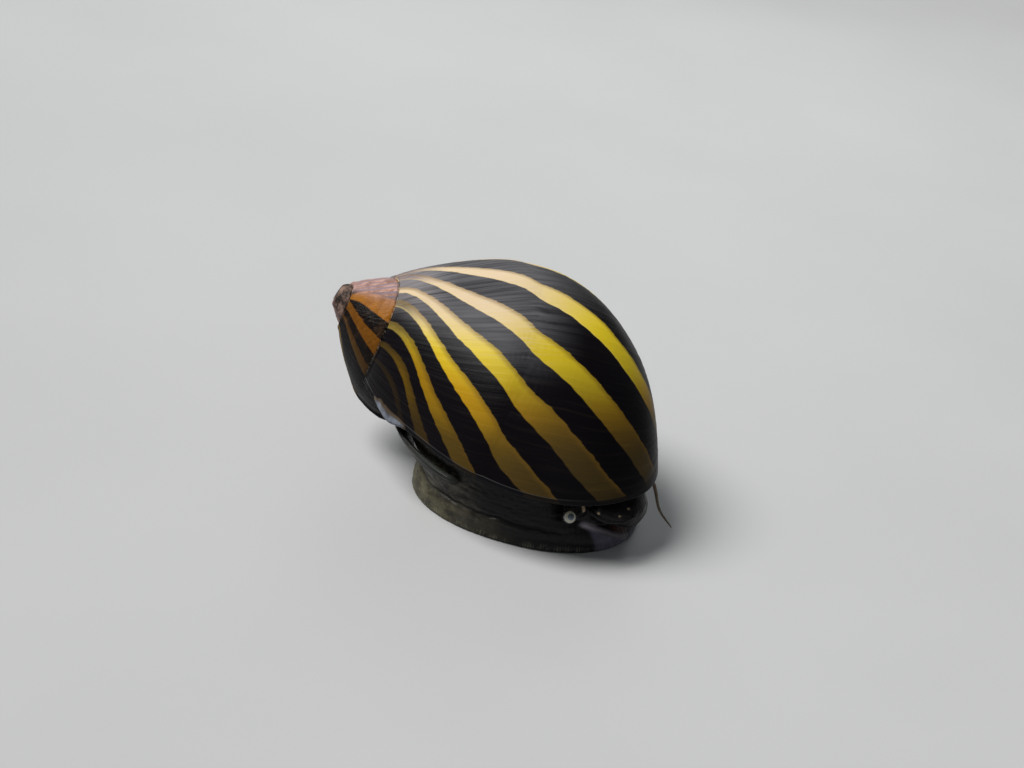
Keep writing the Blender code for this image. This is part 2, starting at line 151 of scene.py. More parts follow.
def smooth_line(x, xs, ys):
    """A smooth curve through points, level beyond its ends."""
    xs, ys = np.asarray(xs, float), np.asarray(ys, float)
    slopes = np.gradient(ys, xs)
    x = np.clip(x, xs[0], xs[-1])
    k = np.clip(np.searchsorted(xs, x, side="right") - 1, 0, len(xs) - 2)
    step = xs[k + 1] - xs[k]
    u = (x - xs[k]) / step
    return ((1 + 2 * u) * (1 - u) ** 2 * ys[k] + u * (1 - u) ** 2 * step * slopes[k]
            + u * u * (3 - 2 * u) * ys[k + 1] + u * u * (u - 1) * step * slopes[k + 1])


# The coil

def beyond(handle, end, reach):
    return end + (end - handle) / np.linalg.norm(end - handle) * reach


SHOULDER = WHORL_GROWTH * SUTURE_START
CURVES = np.array([(SUTURE_START, *SPIRE_HANDLES, SHOULDER),
                   (SHOULDER, beyond(SPIRE_HANDLES[1], SHOULDER, SHOULDER_REACH), FLANK_HANDLE, FLANK_END),
                   (FLANK_END, beyond(FLANK_HANDLE, FLANK_END, BASE_REACH), BASE_HANDLE, BASE_END)])
PITCH, YAW = math.radians(AXIS_PITCH_DOWN), math.radians(AXIS_YAW_LEFT)
AXIS = np.array((math.cos(PITCH) * math.cos(YAW), math.cos(PITCH) * math.sin(YAW), -math.sin(PITCH)))
AXIS_UP = np.array((0, 0, 1)) - AXIS * AXIS[2]
AXIS_UP = AXIS_UP / np.linalg.norm(AXIS_UP)
AXIS_RIGHT = -np.cross(AXIS_UP, AXIS)


def section(t):
    """The whorl's outline, with its joins at 1 and 2 eased so that highlights run across them smoothly."""
    t = np.clip(t, 0.0, 3.0)
    reach = 0.16 * np.clip(np.minimum(t, 3 - t) / 0.4, 0, 1)
    weights = (1, 6, 15, 20, 15, 6, 1)
    return sum(w * plain_section(t + reach * (k - 3) / 3) for k, w in enumerate(weights)) / sum(weights)


def plain_section(t):
    """The whorl's outline as in the solids: 0 to 1 the bare curve, to 2 the flank and to 3 the base."""
    k = np.minimum(t.astype(int), 2)
    u = t - k
    weights = np.stack([(1 - u) ** 3, 3 * (1 - u) ** 2 * u, 3 * (1 - u) * u * u, u ** 3], -1)
    return (weights[..., None] * CURVES[k]).sum(-2)


def coil(t, turn):
    """Points of the shell's surface."""
    t, turn = np.broadcast_arrays(np.asarray(t, float), np.asarray(turn, float))
    spot = section(t) * (WHORL_GROWTH ** (turn / 360.0))[..., None]
    out = spot[..., 0]
    along = WORN_TIP + soft_positive(spot[..., 1] - WORN_TIP, 0.12)
    angle = np.radians(turn)
    return (APEX + AXIS * along[..., None] + AXIS_UP * (out * np.cos(angle))[..., None]
            + AXIS_RIGHT * (out * np.sin(angle))[..., None])


def coil_slopes(t, turn):
    """How the surface runs along the section and along the turn, and its outward normal."""
    small_t, small_turn = 1e-3, 0.1
    inner_t = np.clip(t, small_t, 3 - small_t)
    along_t = (coil(inner_t + small_t, turn) - coil(inner_t - small_t, turn)) / (2 * small_t)
    along_turn = (coil(t, turn + small_turn) - coil(t, turn - small_turn)) / (2 * small_turn)
    return along_t, along_turn, unit(np.cross(along_turn, along_t))


def lip_plane(x, y):
    return LIP_HEIGHT + LIP_SLOPE_X * x + LIP_SLOPE_Y * y


def belly_floor(x, y):
    """Height of the shell's underside, which hangs lower behind the foot."""
    drop = soft_min(BELLY_SLOPE_X * (BELLY_CORNER[0] - x), BELLY_SLOPE_Y * (BELLY_CORNER[1] - y), 0.5)
    return lip_plane(x, y) - soft_positive(drop, 0.25)


JUNCTION = coil(0.0, LIP_TURN)
JUNCTION_DIP = lip_plane(JUNCTION[0], JUNCTION[1]) - JUNCTION[2]
DIP_WIDTH = 2.2


def lip_height(x, y):
    """The lip's plane, dipping a little where the lip meets the turn before."""
    near = np.exp(-((x - JUNCTION[0]) ** 2 + (y - JUNCTION[1]) ** 2) / DIP_WIDTH ** 2)
    below_pad = np.exp(-((x - PAD_FOOT[0]) ** 2 + (y - PAD_FOOT[1]) ** 2) / PAD_FOOT_WIDTH ** 2)
    return lip_plane(x, y) - JUNCTION_DIP * near - PAD_FOOT_DROP * below_pad


def fillet(x, y):
    """Rounding of the shell's lower edge: thin at the lip on the right, full on the left."""
    left = 0.75 * smoothstep(0.0, 5.0, y)
    return 0.14 + left + 0.35 * smoothstep(-6.2, -7.2, x) * smoothstep(-3.5, -1.0, y)


def shell_bottom(turn):
    """The place along the section where each column of the last whorl reaches its lower edge."""
    low, high = np.zeros_like(turn), np.full_like(turn, 3.0)
    for _ in range(HALVINGS):
        middle = (low + high) / 2
        p = coil(middle, turn)
        x, y = p[..., 0], p[..., 1]
        edge = np.where(turn > 0, lip_height(x, y), belly_floor(x, y)) + fillet(x, y)
        over = p[..., 2] > edge
        low, high = np.where(over, middle, low), np.where(over, high, middle)
    return low


# Marks of the shell

# How a stripe leans as it runs down from the suture, in degrees of turn
LEAN_AT = (0.0, 0.1, 0.2, 0.3, 0.4, 0.5, 0.75, 1.0, 1.5, 2.0, 2.4, 3.0)
LEAN = (-38.0, -37.5, -33.0, -26.0, -19.0, -13.0, -5.0, 0.0, 5.5, 15.5, 26.0, 45.0)
# Light stripes in view: upper and lower edge at the shoulder, the same at the suture, and brightness
STRIPES = [(9.0, 20.0, 12.0, 25.0, 1.0), (35.0, 44.5, 23.5, 41.0, 1.0), (55.0, 63.8, 57.0, 66.0, 1.0),
           (73.0, 80.5, 75.0, 84.0, 0.95), (90.0, 96.8, 99.0, 106.0, 0.58),
           (103.5, 109.5, 119.0, 123.5, 0.22), (116.0, 120.0, 134.0, 138.0, 0.05),
           (-24.0, -14.0, -21.0, -10.0, 1.0)]
# Stripes of the worn spire
STRIPES += [(-250.0, -239.0, -246.0, -238.0, 0.16), (-278.0, -263.0, -284.0, -262.0, 0.45),
            (-322.0, -296.0, -300.0, -286.0, 0.9)]
# The made-up stripes of the hidden side, and the plain ones of the inner turns
HIDDEN_FROM, HIDDEN_TO, HIDDEN_STEP = -49.0, -205.0, -25.0
INNER_FROM, INNER_TO, INNER_WIDTH = -352.0, -960.0, 13.0
turn_at = HIDDEN_FROM
while turn_at > HIDDEN_TO:
    start = turn_at + RNG.uniform(-2.0, 2.0)
    width = RNG.uniform(9.5, 12.5)
    STRIPES.append((start, start + width, start + RNG.uniform(-3, 3), start + width + RNG.uniform(-3, 3),
                    1.0 if turn_at > -190 else 0.45))
    turn_at += HIDDEN_STEP
turn_at = INNER_FROM
while turn_at > INNER_TO:
    STRIPES.append((turn_at, turn_at + INNER_WIDTH) * 2 + (0.7,))
    turn_at += HIDDEN_STEP


def waves(x, y, scale, seed, count=6):
    """A smooth random field between about -1 and 1."""
    rng = np.random.default_rng(seed)
    total = np.zeros_like(x)
    for _ in range(count):
        angle = rng.uniform(0, 2 * math.pi)
        rate = rng.uniform(0.6, 1.6) * 2 * math.pi / scale
        total += np.sin((x * math.cos(angle) + y * math.sin(angle)) * rate + rng.uniform(0, 2 * math.pi))
    return total / count * 1.6


def stripe_marks(t, turn, growth_line):
    """Signed distance in mm into the nearest light stripe, 1 where its upper edge is nearer, and its
    brightness."""
    lean = smooth_line(t, LEAN_AT, LEAN) * (0.25 + 0.75 * smoothstep(-270, -180, turn))
    near_suture = 1 - smoothstep(0.0, 0.38, t)
    # Small steps where the edge follows a growth line
    step = (0.24 * waves(growth_line / 9.0, t * 0.8, 1.0, 3)
            + 0.17 * waves(growth_line / 4.0, t * 1.2, 1.0, 4))
    along_t, along_turn, _ = coil_slopes(t, turn)
    small = 0.01
    lean_slope = smooth_line(t + small, LEAN_AT, LEAN) - smooth_line(t - small, LEAN_AT, LEAN)
    lean_slope /= 2 * small
    tt, uu, tu = (along_t ** 2).sum(-1), (along_turn ** 2).sum(-1), (along_t * along_turn).sum(-1)
    slope = np.sqrt((lean_slope ** 2 * uu + 2 * lean_slope * tu + tt) / np.maximum(tt * uu - tu ** 2, 1e-9))
    mm_per_degree = 1 / np.maximum(slope, 1e-6)
    best_upper, best_lower = np.full_like(t, -FAR), np.full_like(t, -FAR)
    bright = np.zeros_like(t)
    value = turn - lean + step
    for upper, lower, upper_start, lower_start, brightness in STRIPES:
        high = upper + (upper_start - upper) * near_suture
        low = lower + (lower_start - lower) * near_suture
        from_upper, from_lower = (value - high) * mm_per_degree, (low - value) * mm_per_degree
        better = np.minimum(from_upper, from_lower) > np.minimum(best_upper, best_lower)
        best_upper = np.where(better, from_upper, best_upper)
        best_lower = np.where(better, from_lower, best_lower)
        bright = np.where(better, brightness, bright)
    inside = np.minimum(best_upper, best_lower)
    return np.clip(inside, -1.5, 1.5), np.where(best_upper < best_lower, 1.0, 0.0), bright


# Meshes: faces are lists of vertex numbers

def strip(a, b):
    """Four-sided faces between two lines of vertices."""
    return np.stack([a[:-1], a[1:], b[1:], b[:-1]], -1).tolist()


def belt(a, b):
    """Four-sided faces between two closed rings of vertices."""
    return strip(np.append(a, a[0]), np.append(b, b[0]))


def belts(first, rings, count):
    """Belts between neighbouring rings, whose vertices are numbered from the first."""
    rows = first + np.arange(rings * count).reshape(rings, count)
    return [face for a, b in zip(rows, rows[1:]) for face in belt(a, b)]


def fan(ring, centre):
    """Triangles from a closed ring of vertices to one in its middle."""
    return [[int(v), int(w), int(centre)] for v, w in zip(ring, np.roll(ring, -1))]


def closed_rings(rings, ends):
    """Points and faces of a closed skin over rings of points, with one more point at each end."""
    count = len(rings[0])
    total = len(rings) * count
    faces = belts(0, len(rings), count)
    faces.extend(fan(np.arange(count), total))
    faces.extend(fan(np.arange(total - count, total), total + 1))
    return np.concatenate([*rings, ends]), faces


def add_loft(points, faces, rings):
    """Add a closed skin over rings of points, with flat ends, to lists of points and faces."""
    first, count = len(points), len(rings[0])
    for ring in rings:
        points.extend(np.asarray(ring).tolist())
    faces.extend(belts(first, len(rings), count))
    faces.append(list(range(first, first + count))[::-1])
    faces.append(list(range(len(points) - count, len(points))))


def add_object(name, data):
    obj = bpy.data.objects.new(name, data)
    bpy.context.scene.collection.objects.link(obj)
    return obj


def turn_faces_out(mesh):
    bm = bmesh.new()
    bm.from_mesh(mesh)
    bmesh.ops.recalc_face_normals(bm, faces=bm.faces)
    bm.to_mesh(mesh)
    bm.free()


def finish_object(name, points, faces, attributes):
    """A mesh object from points in mm, with one number for each vertex in each attribute."""
    mesh = bpy.data.meshes.new(name)
    mesh.from_pydata(((np.asarray(points) - MIDDLE) * MM).tolist(), [], faces)
    mesh.validate()
    turn_faces_out(mesh)
    for label, values in attributes.items():
        layer = mesh.attributes.new(label, "FLOAT", "POINT")
        layer.data.foreach_set("value", np.asarray(values, np.float32))
    mesh.shade_smooth()
    return add_object(name, mesh)


def spline(points, steps):
    spots = [np.array(p, float) for p in points]
    spots = [2 * spots[0] - spots[1]] + spots + [2 * spots[-1] - spots[-2]]
    line = []
    for a, b, c, d in zip(spots, spots[1:], spots[2:], spots[3:]):
        for i in range(steps):
            u = i / steps
            line.append(0.5 * (2 * b + (c - a) * u + (2 * a - 5 * b + 4 * c - d) * u ** 2
                               + (3 * b - a - 3 * c + d) * u ** 3))
    line.append(spots[-2])
    return np.array(line)


def near_line(spots, line, radius):
    """How close points are to a line of points: 1 on it and 0 from the given distance."""
    nearest = np.full(len(spots), np.inf)
    for spot in line:
        nearest = np.minimum(nearest, np.linalg.norm(spots - spot, axis=1))
    return 1 - smoothstep(0.0, radius, nearest)


def oval_reach(shape, c, s, grow):
    """How far an oval reaches along X and Y from its centre, on the side where c and s point."""
    reach_x = np.where(c > 0, shape["front"] - shape["wide_x"], shape["wide_x"] - shape["rear"]) + grow
    reach_y = np.where(s > 0, shape["left"] - shape["wide_y"], shape["wide_y"] - shape["right"]) + grow
    return reach_x, reach_y


def outline_at(shape, angle, grow):
    """A point of an oval in a given direction from its centre."""
    c, s = np.cos(angle), np.sin(angle)
    reach_x, reach_y = oval_reach(shape, c, s, grow)
    radius = 1 / np.sqrt((c / reach_x) ** 2 + (s / reach_y) ** 2)
    return np.stack([shape["wide_x"] + radius * c, shape["wide_y"] + radius * s], -1)


# The shell's mesh

# Where the last whorl's first column meets the lower edge, and how many of its rows lie on the bare curve
START_END = float(shell_bottom(np.array([FIRST_TURN]))[0])
BARE_ROWS = round(ROWS / START_END)


def lip_turn_along(t):
    """The angle of the lip along the section, which the growth lines follow."""
    return smooth_line(t, (0.0, 0.5, 1.0, 1.25, 1.5, 1.75, 2.0, 2.5, 3.0),
                       (120.0, 103.0, 91.0, 89.0, 85.0, 80.0, 70.0, 42.0, 30.0))


def shell_grid():
    """Where each vertex lies on the coil, where its column ends below, and the columns of vertices."""
    places = []

    def add(t, turn, bottom):
        first = len(places)
        places.extend((along, turn, bottom) for along in t)
        return np.arange(first, len(places))

    # Row 0 of a column is the last bare row of the column one turn further in
    spire = []
    bare = np.arange(BARE_ROWS + 1) / BARE_ROWS
    for j in range(SPIRE_TURNS * COLUMNS):
        turn = FIRST_TURN + 360.0 * (j / COLUMNS - SPIRE_TURNS)
        if j < COLUMNS:
            spire.append(add(bare, turn, FAR))
        else:
            spire.append(np.append(spire[j - COLUMNS][-1], add(bare[1:], turn, FAR)))
    rest = ROWS - BARE_ROWS
    share = np.concatenate([np.arange(BARE_ROWS) / BARE_ROWS / START_END,
                            1 / START_END + (1 - 1 / START_END) * np.arange(rest + 1) / rest])
    turns = FIRST_TURN + 360.0 * np.arange(COLUMNS) / COLUMNS
    whorl = []
    for j, (turn, bottom) in enumerate(zip(turns, shell_bottom(turns))):
        whorl.append(np.append(spire[j - COLUMNS][-1], add((bottom * share)[1:], turn, bottom)))
    t, turn, bottom = np.array(places).T
    return t, turn, bottom, spire, whorl


def shell_relief(base, t, turn):
    """Growth lines, a ridge and a groove along the suture, and wear on the spire, in mm."""
    growth_line = turn - lip_turn_along(t)
    young = smoothstep(-262, -225, turn)
    relief = 0.012 * waves(growth_line / 1.7, t, 1.0, 21, 8)
    relief += 0.010 * waves(growth_line / 0.8, t * 2, 1.0, 22, 8)
    relief *= 0.35 + 0.65 * young
    # Distances along the surface, roughly in mm
    scale = WHORL_GROWTH ** (turn / 360.0)
    from_suture, to_suture = t * 8.0 * scale, (1 - t) * 9.0 * scale
    bare_outer = (turn < LIP_TURN) & (turn > FIRST_TURN - 360)
    relief += np.where(bare_outer, 0.07 * np.exp(-((from_suture - 0.30) / 0.22) ** 2), 0)
    relief -= np.where(turn < FIRST_TURN, 0.09 * np.exp(-(to_suture / 0.14) ** 2), 0)
    x, y, z = base.T
    relief += (1 - young) * (0.014 * waves(x + z, y, 1.4, 31) + 0.007 * waves(x - z, y, 0.45, 32)
                             + 0.003 * waves(x + 0.5 * z, y, 0.2, 33) - 0.03)
    return relief


def underside(edge, t, turn):
    """Rings of points inward from the lower edge: round it, under the shell and up into the recess.

    With them come how far under each ring lies (0.5 at the end of the rounding), each ring's place along
    the section, and how much each point of the edge belongs to the wall up the first column.
    """
    count = len(edge) - COLUMNS - 1
    climb = np.concatenate([np.zeros(COLUMNS + 1), np.arange(1, count + 1) / (count + 1)])
    wall = np.sin(np.pi * climb / 2)
    at_lip = turn > 0
    at_lip[0] = True
    angle = np.unwrap(np.arctan2(edge[:, 1] - MANTLE["wide_y"], edge[:, 0] - MANTLE["wide_x"]))
    angle = np.minimum(np.maximum.accumulate(angle), angle[0] + 2 * math.pi)
    oval = outline_at(MANTLE, angle, RECESS_CLEARANCE)
    target = np.column_stack([oval, lip_plane(*oval.T)])
    inward = unit(target[:, :2] - edge[:, :2])
    round_off = fillet(edge[:, 0], edge[:, 1])
    lean = WALL_LEAN * np.sin(np.pi * np.clip(t - 1, 0, START_END - 1) / (START_END - 1)) ** 0.8
    bead = LIP_BEAD * at_lip * smoothstep(6.0, 16.0, turn) * (0.3 + 0.7 * smoothstep(55.0, 85.0, turn))
    per_t = np.linalg.norm(coil_slopes(t, turn)[0], axis=1)
    rings, under, ring_ts = [], [], []
    for k in range(1, ROUND_STEPS + 1):
        a = math.radians(90 * k / ROUND_STEPS)
        flat = edge[:, :2] + inward * (round_off * (1 - math.cos(a)))[:, None]
        flat -= inward * (bead * math.sin(min(1.5 * a, math.pi)))[:, None]
        rounded = np.column_stack([flat, edge[:, 2] - round_off * math.sin(a)])
        leaned = coil(t, turn - lean * k / ROUND_STEPS)
        rings.append(rounded * (1 - wall)[:, None] + leaned * wall[:, None])
        under.append(0.5 * k / ROUND_STEPS)
        ring_ts.append(np.where(wall > 0, t, np.minimum(t + round_off * a / per_t, 3.0)))
    begin = rings[-1]
    for u in np.arange(1, UNDER_STEPS + 1) / UNDER_STEPS:
        x, y, straight = (begin * (1 - u) + target * u).T
        rear = belly_floor(x, y) * (1 - wall) + straight * wall
        rings.append(np.stack([x, y, np.where(at_lip, lip_height(x, y), rear)], -1))
        under.append(0.5 + 0.5 * u)
    for depth, inset in ((RECESS_STRAIGHT, 0.0), (RECESS_DEPTH, RECESS_TAPER)):
        flat = outline_at(MANTLE, angle, RECESS_CLEARANCE - inset)
        rings.append(np.column_stack([flat, lip_plane(*flat.T) + depth]))
        under.append(1.0)
    ring_ts += [ring_ts[-1]] * (len(rings) - ROUND_STEPS)
    return rings, under, ring_ts, wall


def pad_share(points, edge):
    """How much each point belongs to the pearly pad, along the lip's edge just after the junction."""
    gone = np.concatenate([[0.0], np.cumsum(np.linalg.norm(np.diff(edge, axis=0), axis=1))])
    pad = np.zeros(len(points))
    for spot, share in zip(edge, (gone - PAD_FROM) / (PAD_TO - PAD_FROM)):
        if 0 < share < 1:
            radius = PAD_WIDTH * math.sin(math.pi * share ** 0.8) ** 0.6
            away = np.linalg.norm(points - spot, axis=1)
            pad = np.maximum(pad, np.clip(1 - away / radius, 0, 1))
    return pad


def build_shell():
    """The whole shell: spire, last whorl, lower edge, underside and recess, as one closed surface."""
    t, turn, bottom, spire, whorl = shell_grid()
    base = coil(t, turn)
    along_t, _, normal = coil_slopes(t, turn)
    from_edge = np.clip((bottom - t) * np.linalg.norm(along_t, axis=1), 0.0, 3.0)
    surface = base + normal * shell_relief(base, t, turn)[:, None]
    junction, last = whorl[0][BARE_ROWS], whorl[-1]
    faces = []
    for a, b in zip(spire, spire[1:] + whorl[:1]):
        faces.extend(strip(a, b[:BARE_ROWS + 1]))
    for a, b in zip(whorl, whorl[1:]):
        faces.extend(strip(a, b))
    faces.extend([[int(a), int(b), int(junction)] for a, b in zip(last, last[1:])])
    # The worn tip
    tip_loop = np.array([c[0] for c in spire[:COLUMNS + 1]] + list(spire[0][-2:0:-1]))
    faces.extend(fan(tip_loop, len(surface)))
    # The lower edge, from the junction forward round the lip, back along the left and up the first column
    loop = np.array([junction] + [c[-1] for c in whorl[::-1]] + list(whorl[0][-2:BARE_ROWS:-1]))
    edge = surface[loop]
    rings, under, ring_ts, wall = underside(edge, t[loop], turn[loop])
    first = len(surface) + 1
    roof = first + len(rings) * len(loop)
    ids = [loop, *np.arange(first, roof).reshape(len(rings), len(loop))]
    for a, b in zip(ids, ids[1:]):
        faces.extend(belt(a, b))
    faces.extend(fan(ids[-1], roof))
    points = np.concatenate([surface, [APEX + AXIS * (WORN_TIP + TIP_RISE)], *rings, [rings[-1].mean(0)]])
    pad = pad_share(points, edge)
    points[:len(surface)] += normal * (PAD_LIFT * smoothstep(0.0, 0.35, pad[:len(surface)]))[:, None]

    # What the colours need: the coil's surface first, then the tip, the rings and the roof of the recess
    t = np.concatenate([t, [0.0], *ring_ts, [0.0]])
    turn = np.concatenate([turn, turn[tip_loop[:1]], np.tile(turn[loop], len(rings)), [0.0]])
    growth_line = turn - lip_turn_along(t)
    inside, upper, bright = stripe_marks(t, turn, growth_line)
    above = np.zeros(first)
    return finish_object("shell", points, faces, dict(
        inside=inside, upper=upper, bright=bright, across=t, turn=turn, growth=growth_line,
        under=np.concatenate([above, np.repeat(under, len(loop)), [1.0]]),
        wall=np.concatenate([above, np.tile(wall, len(rings)), [0.0]]), pad=pad,
        from_edge=np.concatenate([from_edge, [3.0], np.zeros(roof + 1 - first)])))


shell = build_shell()
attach(shell, "root")
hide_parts("shell_body_whorl", "shell_spire")


# Flesh: one skin

def oval_ring(shape, height, grow=0.0, square=2.0, count=120):
    """A ring round an oval that reaches its four limits; height is a number or a function of x and y."""
    c, s = (squared(wave, 2 / square) for wave in around(count))
    reach_x, reach_y = oval_reach(shape, c, s, grow)
    x, y = shape["wide_x"] + reach_x * c, shape["wide_y"] + reach_y * s
    z = height(x, y) if callable(height) else np.full(count, float(height))
    return np.stack([x, y, z], -1)


def between(low, high, share):
    return {key: low[key] + (high[key] - low[key]) * share for key in low}


def tube_rings(line, radii, count=24):
    """Rings of a round length along a line."""
    c, s = around(count)
    rings = []
    for i, spot in enumerate(line):
        ahead = unit(line[min(i + 1, len(line) - 1)] - line[max(i - 1, 0)])
        side = unit(np.cross(ahead, (0, 0, 1.0)))
        rings.append(spot + radii[i] * (c[:, None] * side + s[:, None] * np.cross(side, ahead)))
    return rings


# Rings of the sole, of the body under the shell and of the neck: each ring's height and how far it grows
SOLE_STEPS = ((0.0, -0.12), (0.06, -0.03), (0.12, 0.0), (0.26, 0.0), (0.36, -0.06), (0.48, -0.20),
              (0.6, -0.6))
MANTLE_STEPS = ((-MANTLE_UNDER_LIP, -0.16), (-MANTLE_UNDER_LIP + 0.06, -0.06),
                (-MANTLE_UNDER_LIP + 0.2, 0.0), (RECESS_STRAIGHT, 0.0), (RECESS_DEPTH - 0.3, -RECESS_TAPER))
NECK_STEPS = ((0, -0.5), (0.15, -0.1), (0.5, 0.0), (0.85, -0.2), (1.0, -0.4))
NECK_FROM = 1.3
SOLE_FRONT = 9.85
# The foot's side: how far it reaches, from just above the floor to below the lip
FLANK_FROM = 0.10
FLANK_AT = (0.0, 0.06, 0.15, 0.33, 0.50, 0.70, 0.90, 1.0, 1.12)
FLANK = dict(rear=(-4.30, -4.42, -4.50, -4.30, -4.15, -4.70, -5.40, -5.65, -5.40),
             right=(-8.34, -8.44, -8.53, -8.58, -8.54, -8.46, -8.37, -8.30, -7.90),
             left=(2.95, 3.02, 3.05, 2.65, 2.10, 1.50, 0.90, 0.70, 0.30),
             front=(9.65, 9.72, 9.75, 9.35, 8.60, 7.70, 7.05, 6.80, 6.40))
FLANK_MIDDLE = dict(wide_x=2.6, wide_y=-3.0)
FLANK_SQUARENESS, NECK_SQUARENESS = 2.15, 2.4
CREASE_SHARE = 0.40
NECK = dict(rear=0.0, front=8.9, right=-7.15, left=-1.2, wide_x=4.6, wide_y=-4.2)
HEAD_START = 4.4
# The snout's rounded tip: how far in and how far ahead its last rings lie
SNOUT_TIP = ((0.75, 0.05), (0.4, 0.09), (0.1, 0.105))
VOXEL = 0.075
# Each round of smoothing moves the vertices in by the first share and out again by the second
SMOOTHING, SMOOTHING_ROUNDS = (0.6, -0.62), 8
# Scallops along the sole's edge, in one radian
SCALLOPS = 230
# A low fold from the eye down to the front lobe
FOLD_ROUTE = ((6.98, -7.60, 2.20), (7.25, -6.85, 1.80), (7.65, -6.52, 1.60), (8.48, -5.95, 1.25),
              (9.21, -5.25, 0.80), (9.60, -4.40, 0.45))
DUSKY_ROUTE = ((6.45, -7.75, 3.05), (6.65, -7.20, 3.15), (6.75, -6.60, 3.15))
MOUTH_AT, MOUTH_SIZE, MOUTH_DEPTH = np.array((10.47, -4.4, 2.02)), np.array((0.5, 0.75, 0.16)), 0.22
# Cream spots of the head: place and radius
SPOTS = (((7.16, -7.12, 2.93), 0.22), ((7.15, -7.10, 3.10), 0.20), ((8.02, -6.61, 2.68), 0.12),
         ((9.28, -6.43, 2.79), 0.10), ((9.64, -5.88, 3.15), 0.11))
BROWN_AT = np.array((9.4, -4.6, 1.35))


def flank_height(x, y, share):
    return FLANK_FROM + (lip_plane(x, y) - FOOT_UNDER_LIP - FLANK_FROM) * share


def flank_ring(share):
    """A ring round the foot's side at a share of its height."""
    shape = {key: smooth_line(share, FLANK_AT, reach) for key, reach in FLANK.items()}
    return oval_ring(shape | FLANK_MIDDLE, lambda x, y: flank_height(x, y, share), 0.0,
                     FLANK_SQUARENESS, 200)


def snout_rings(count=64):
    """Rings of the head, from inside the neck to the rounded tip of the snout."""
    stations = np.array(SNOUT)
    stations[0, 0] = HEAD_START
    c, s = (squared(wave, 0.85) for wave in around(count))
    rings = []
    for x in np.concatenate([np.linspace(HEAD_START, 9.4, 14), np.linspace(9.6, 10.42, 9)]):
        y, z, wide, high = (smooth_line(x, stations[:, 0], stations[:, k]) for k in range(1, 5))
        rings.append(np.stack([np.full(count, x), y + wide * c, z + high * s], -1))
    last = rings[-1]
    tip = last.mean(0)
    return rings + [tip + (last - tip) * share + np.array((ahead, 0, 0)) for share, ahead in SNOUT_TIP]


def eye_centre(sign):
    """The middle of an eyeball; sign is -1 on the right and 1 on the left."""
    return np.array((EYE_AT[0], HEAD_MIDDLE_Y + sign * EYE_OUT, EYE_AT[1]))


def flesh_pieces():
    """Closed pieces of flesh that run into each other, as one list of points and one of faces."""
    points, faces = [], []
    sole = dict(SOLE_EDGE, front=SOLE_FRONT)
    add_loft(points, faces, [oval_ring(sole, z, grow, FLANK_SQUARENESS, 200) for z, grow in SOLE_STEPS])
    add_loft(points, faces, [flank_ring(share) for share in np.linspace(0, FLANK_AT[-1], 24)])
    add_loft(points, faces, [oval_ring(MANTLE, lambda x, y, rise=rise: lip_plane(x, y) + rise, grow)
                             for rise, grow in MANTLE_STEPS])
    add_loft(points, faces, [oval_ring(NECK, lambda x, y, share=share: NECK_FROM
                                       + (lip_plane(x, y) - NECK_FROM) * share, grow, NECK_SQUARENESS)
                             for share, grow in NECK_STEPS])
    add_loft(points, faces, snout_rings())
    for sign in (-1, 1):
        root = np.array((STALK_ROOT[0], HEAD_MIDDLE_Y + sign * STALK_ROOT_OUT, STALK_ROOT[1]))
        line = [root + (eye_centre(sign) - root) * share for share, _ in STALK]
        add_loft(points, faces, tube_rings(line, [radius for _, radius in STALK]))
    for route, inward in ((RIGHT_FEELER, 1.0), (LEFT_FEELER, -1.0)):
        x, y, z = route[0]
        line = spline(((x, y + inward, z), *route), 10)
        share = np.linspace(0, 1, len(line))
        radii = (FEELER_RADII[0] + (FEELER_RADII[1] - FEELER_RADII[0]) * share) * FEELER_THINNED
        radii[-1] *= FEELER_TIP
        add_loft(points, faces, tube_rings(line, radii, 16))
    return points, faces


def read(items, key, each, row, kind):
    """Numbers of all of a mesh's vertices, corners or edges: so many for each, and so many to a row."""
    numbers = np.empty(len(items) * each, dtype=kind)
    items.foreach_get(key, numbers)
    return numbers.reshape(-1, row)


def remeshed(points, faces, voxel):
    """One closed skin round all the pieces, as arrays in mm."""
    mesh = bpy.data.meshes.new("pieces")
    mesh.from_pydata(points, [], faces)
    turn_faces_out(mesh)
    obj = add_object("pieces", mesh)
    modifier = obj.modifiers.new("voxels", "REMESH")
    modifier.mode = "VOXEL"
    modifier.voxel_size = voxel
    done = obj.evaluated_get(bpy.context.evaluated_depsgraph_get()).to_mesh()
    spots = read(done.vertices, "co", 3, 3, float)
    quads = read(done.loops, "vertex_index", 1, 4, np.int64)
    edges = read(done.edges, "vertices", 2, 2, np.int64)
    bpy.data.objects.remove(obj)
    bpy.data.meshes.remove(mesh)
    return spots, quads, edges


def relaxed(spots, edges):
    """Smooth out the steps between voxels without shrinking."""
    a, b = edges[:, 0], edges[:, 1]
    count = len(spots)
    degree = np.bincount(a, minlength=count) + np.bincount(b, minlength=count)
    for weight in SMOOTHING * SMOOTHING_ROUNDS:
        mean = np.empty_like(spots)
        for axis in range(3):
            mean[:, axis] = (np.bincount(a, weights=spots[b, axis], minlength=count)
                             + np.bincount(b, weights=spots[a, axis], minlength=count)) / degree
        spots = spots + weight * (mean - spots)
    return spots


def vertex_normals(spots, quads):
    diagonal_a = spots[quads[:, 2]] - spots[quads[:, 0]]
    diagonal_b = spots[quads[:, 3]] - spots[quads[:, 1]]
    face_normal = np.cross(diagonal_a, diagonal_b)
    normal = np.zeros_like(spots)
    for axis in range(3):
        normal[:, axis] = sum(np.bincount(quads[:, k], weights=face_normal[:, axis], minlength=len(spots))
                              for k in range(4))
    return unit(normal)


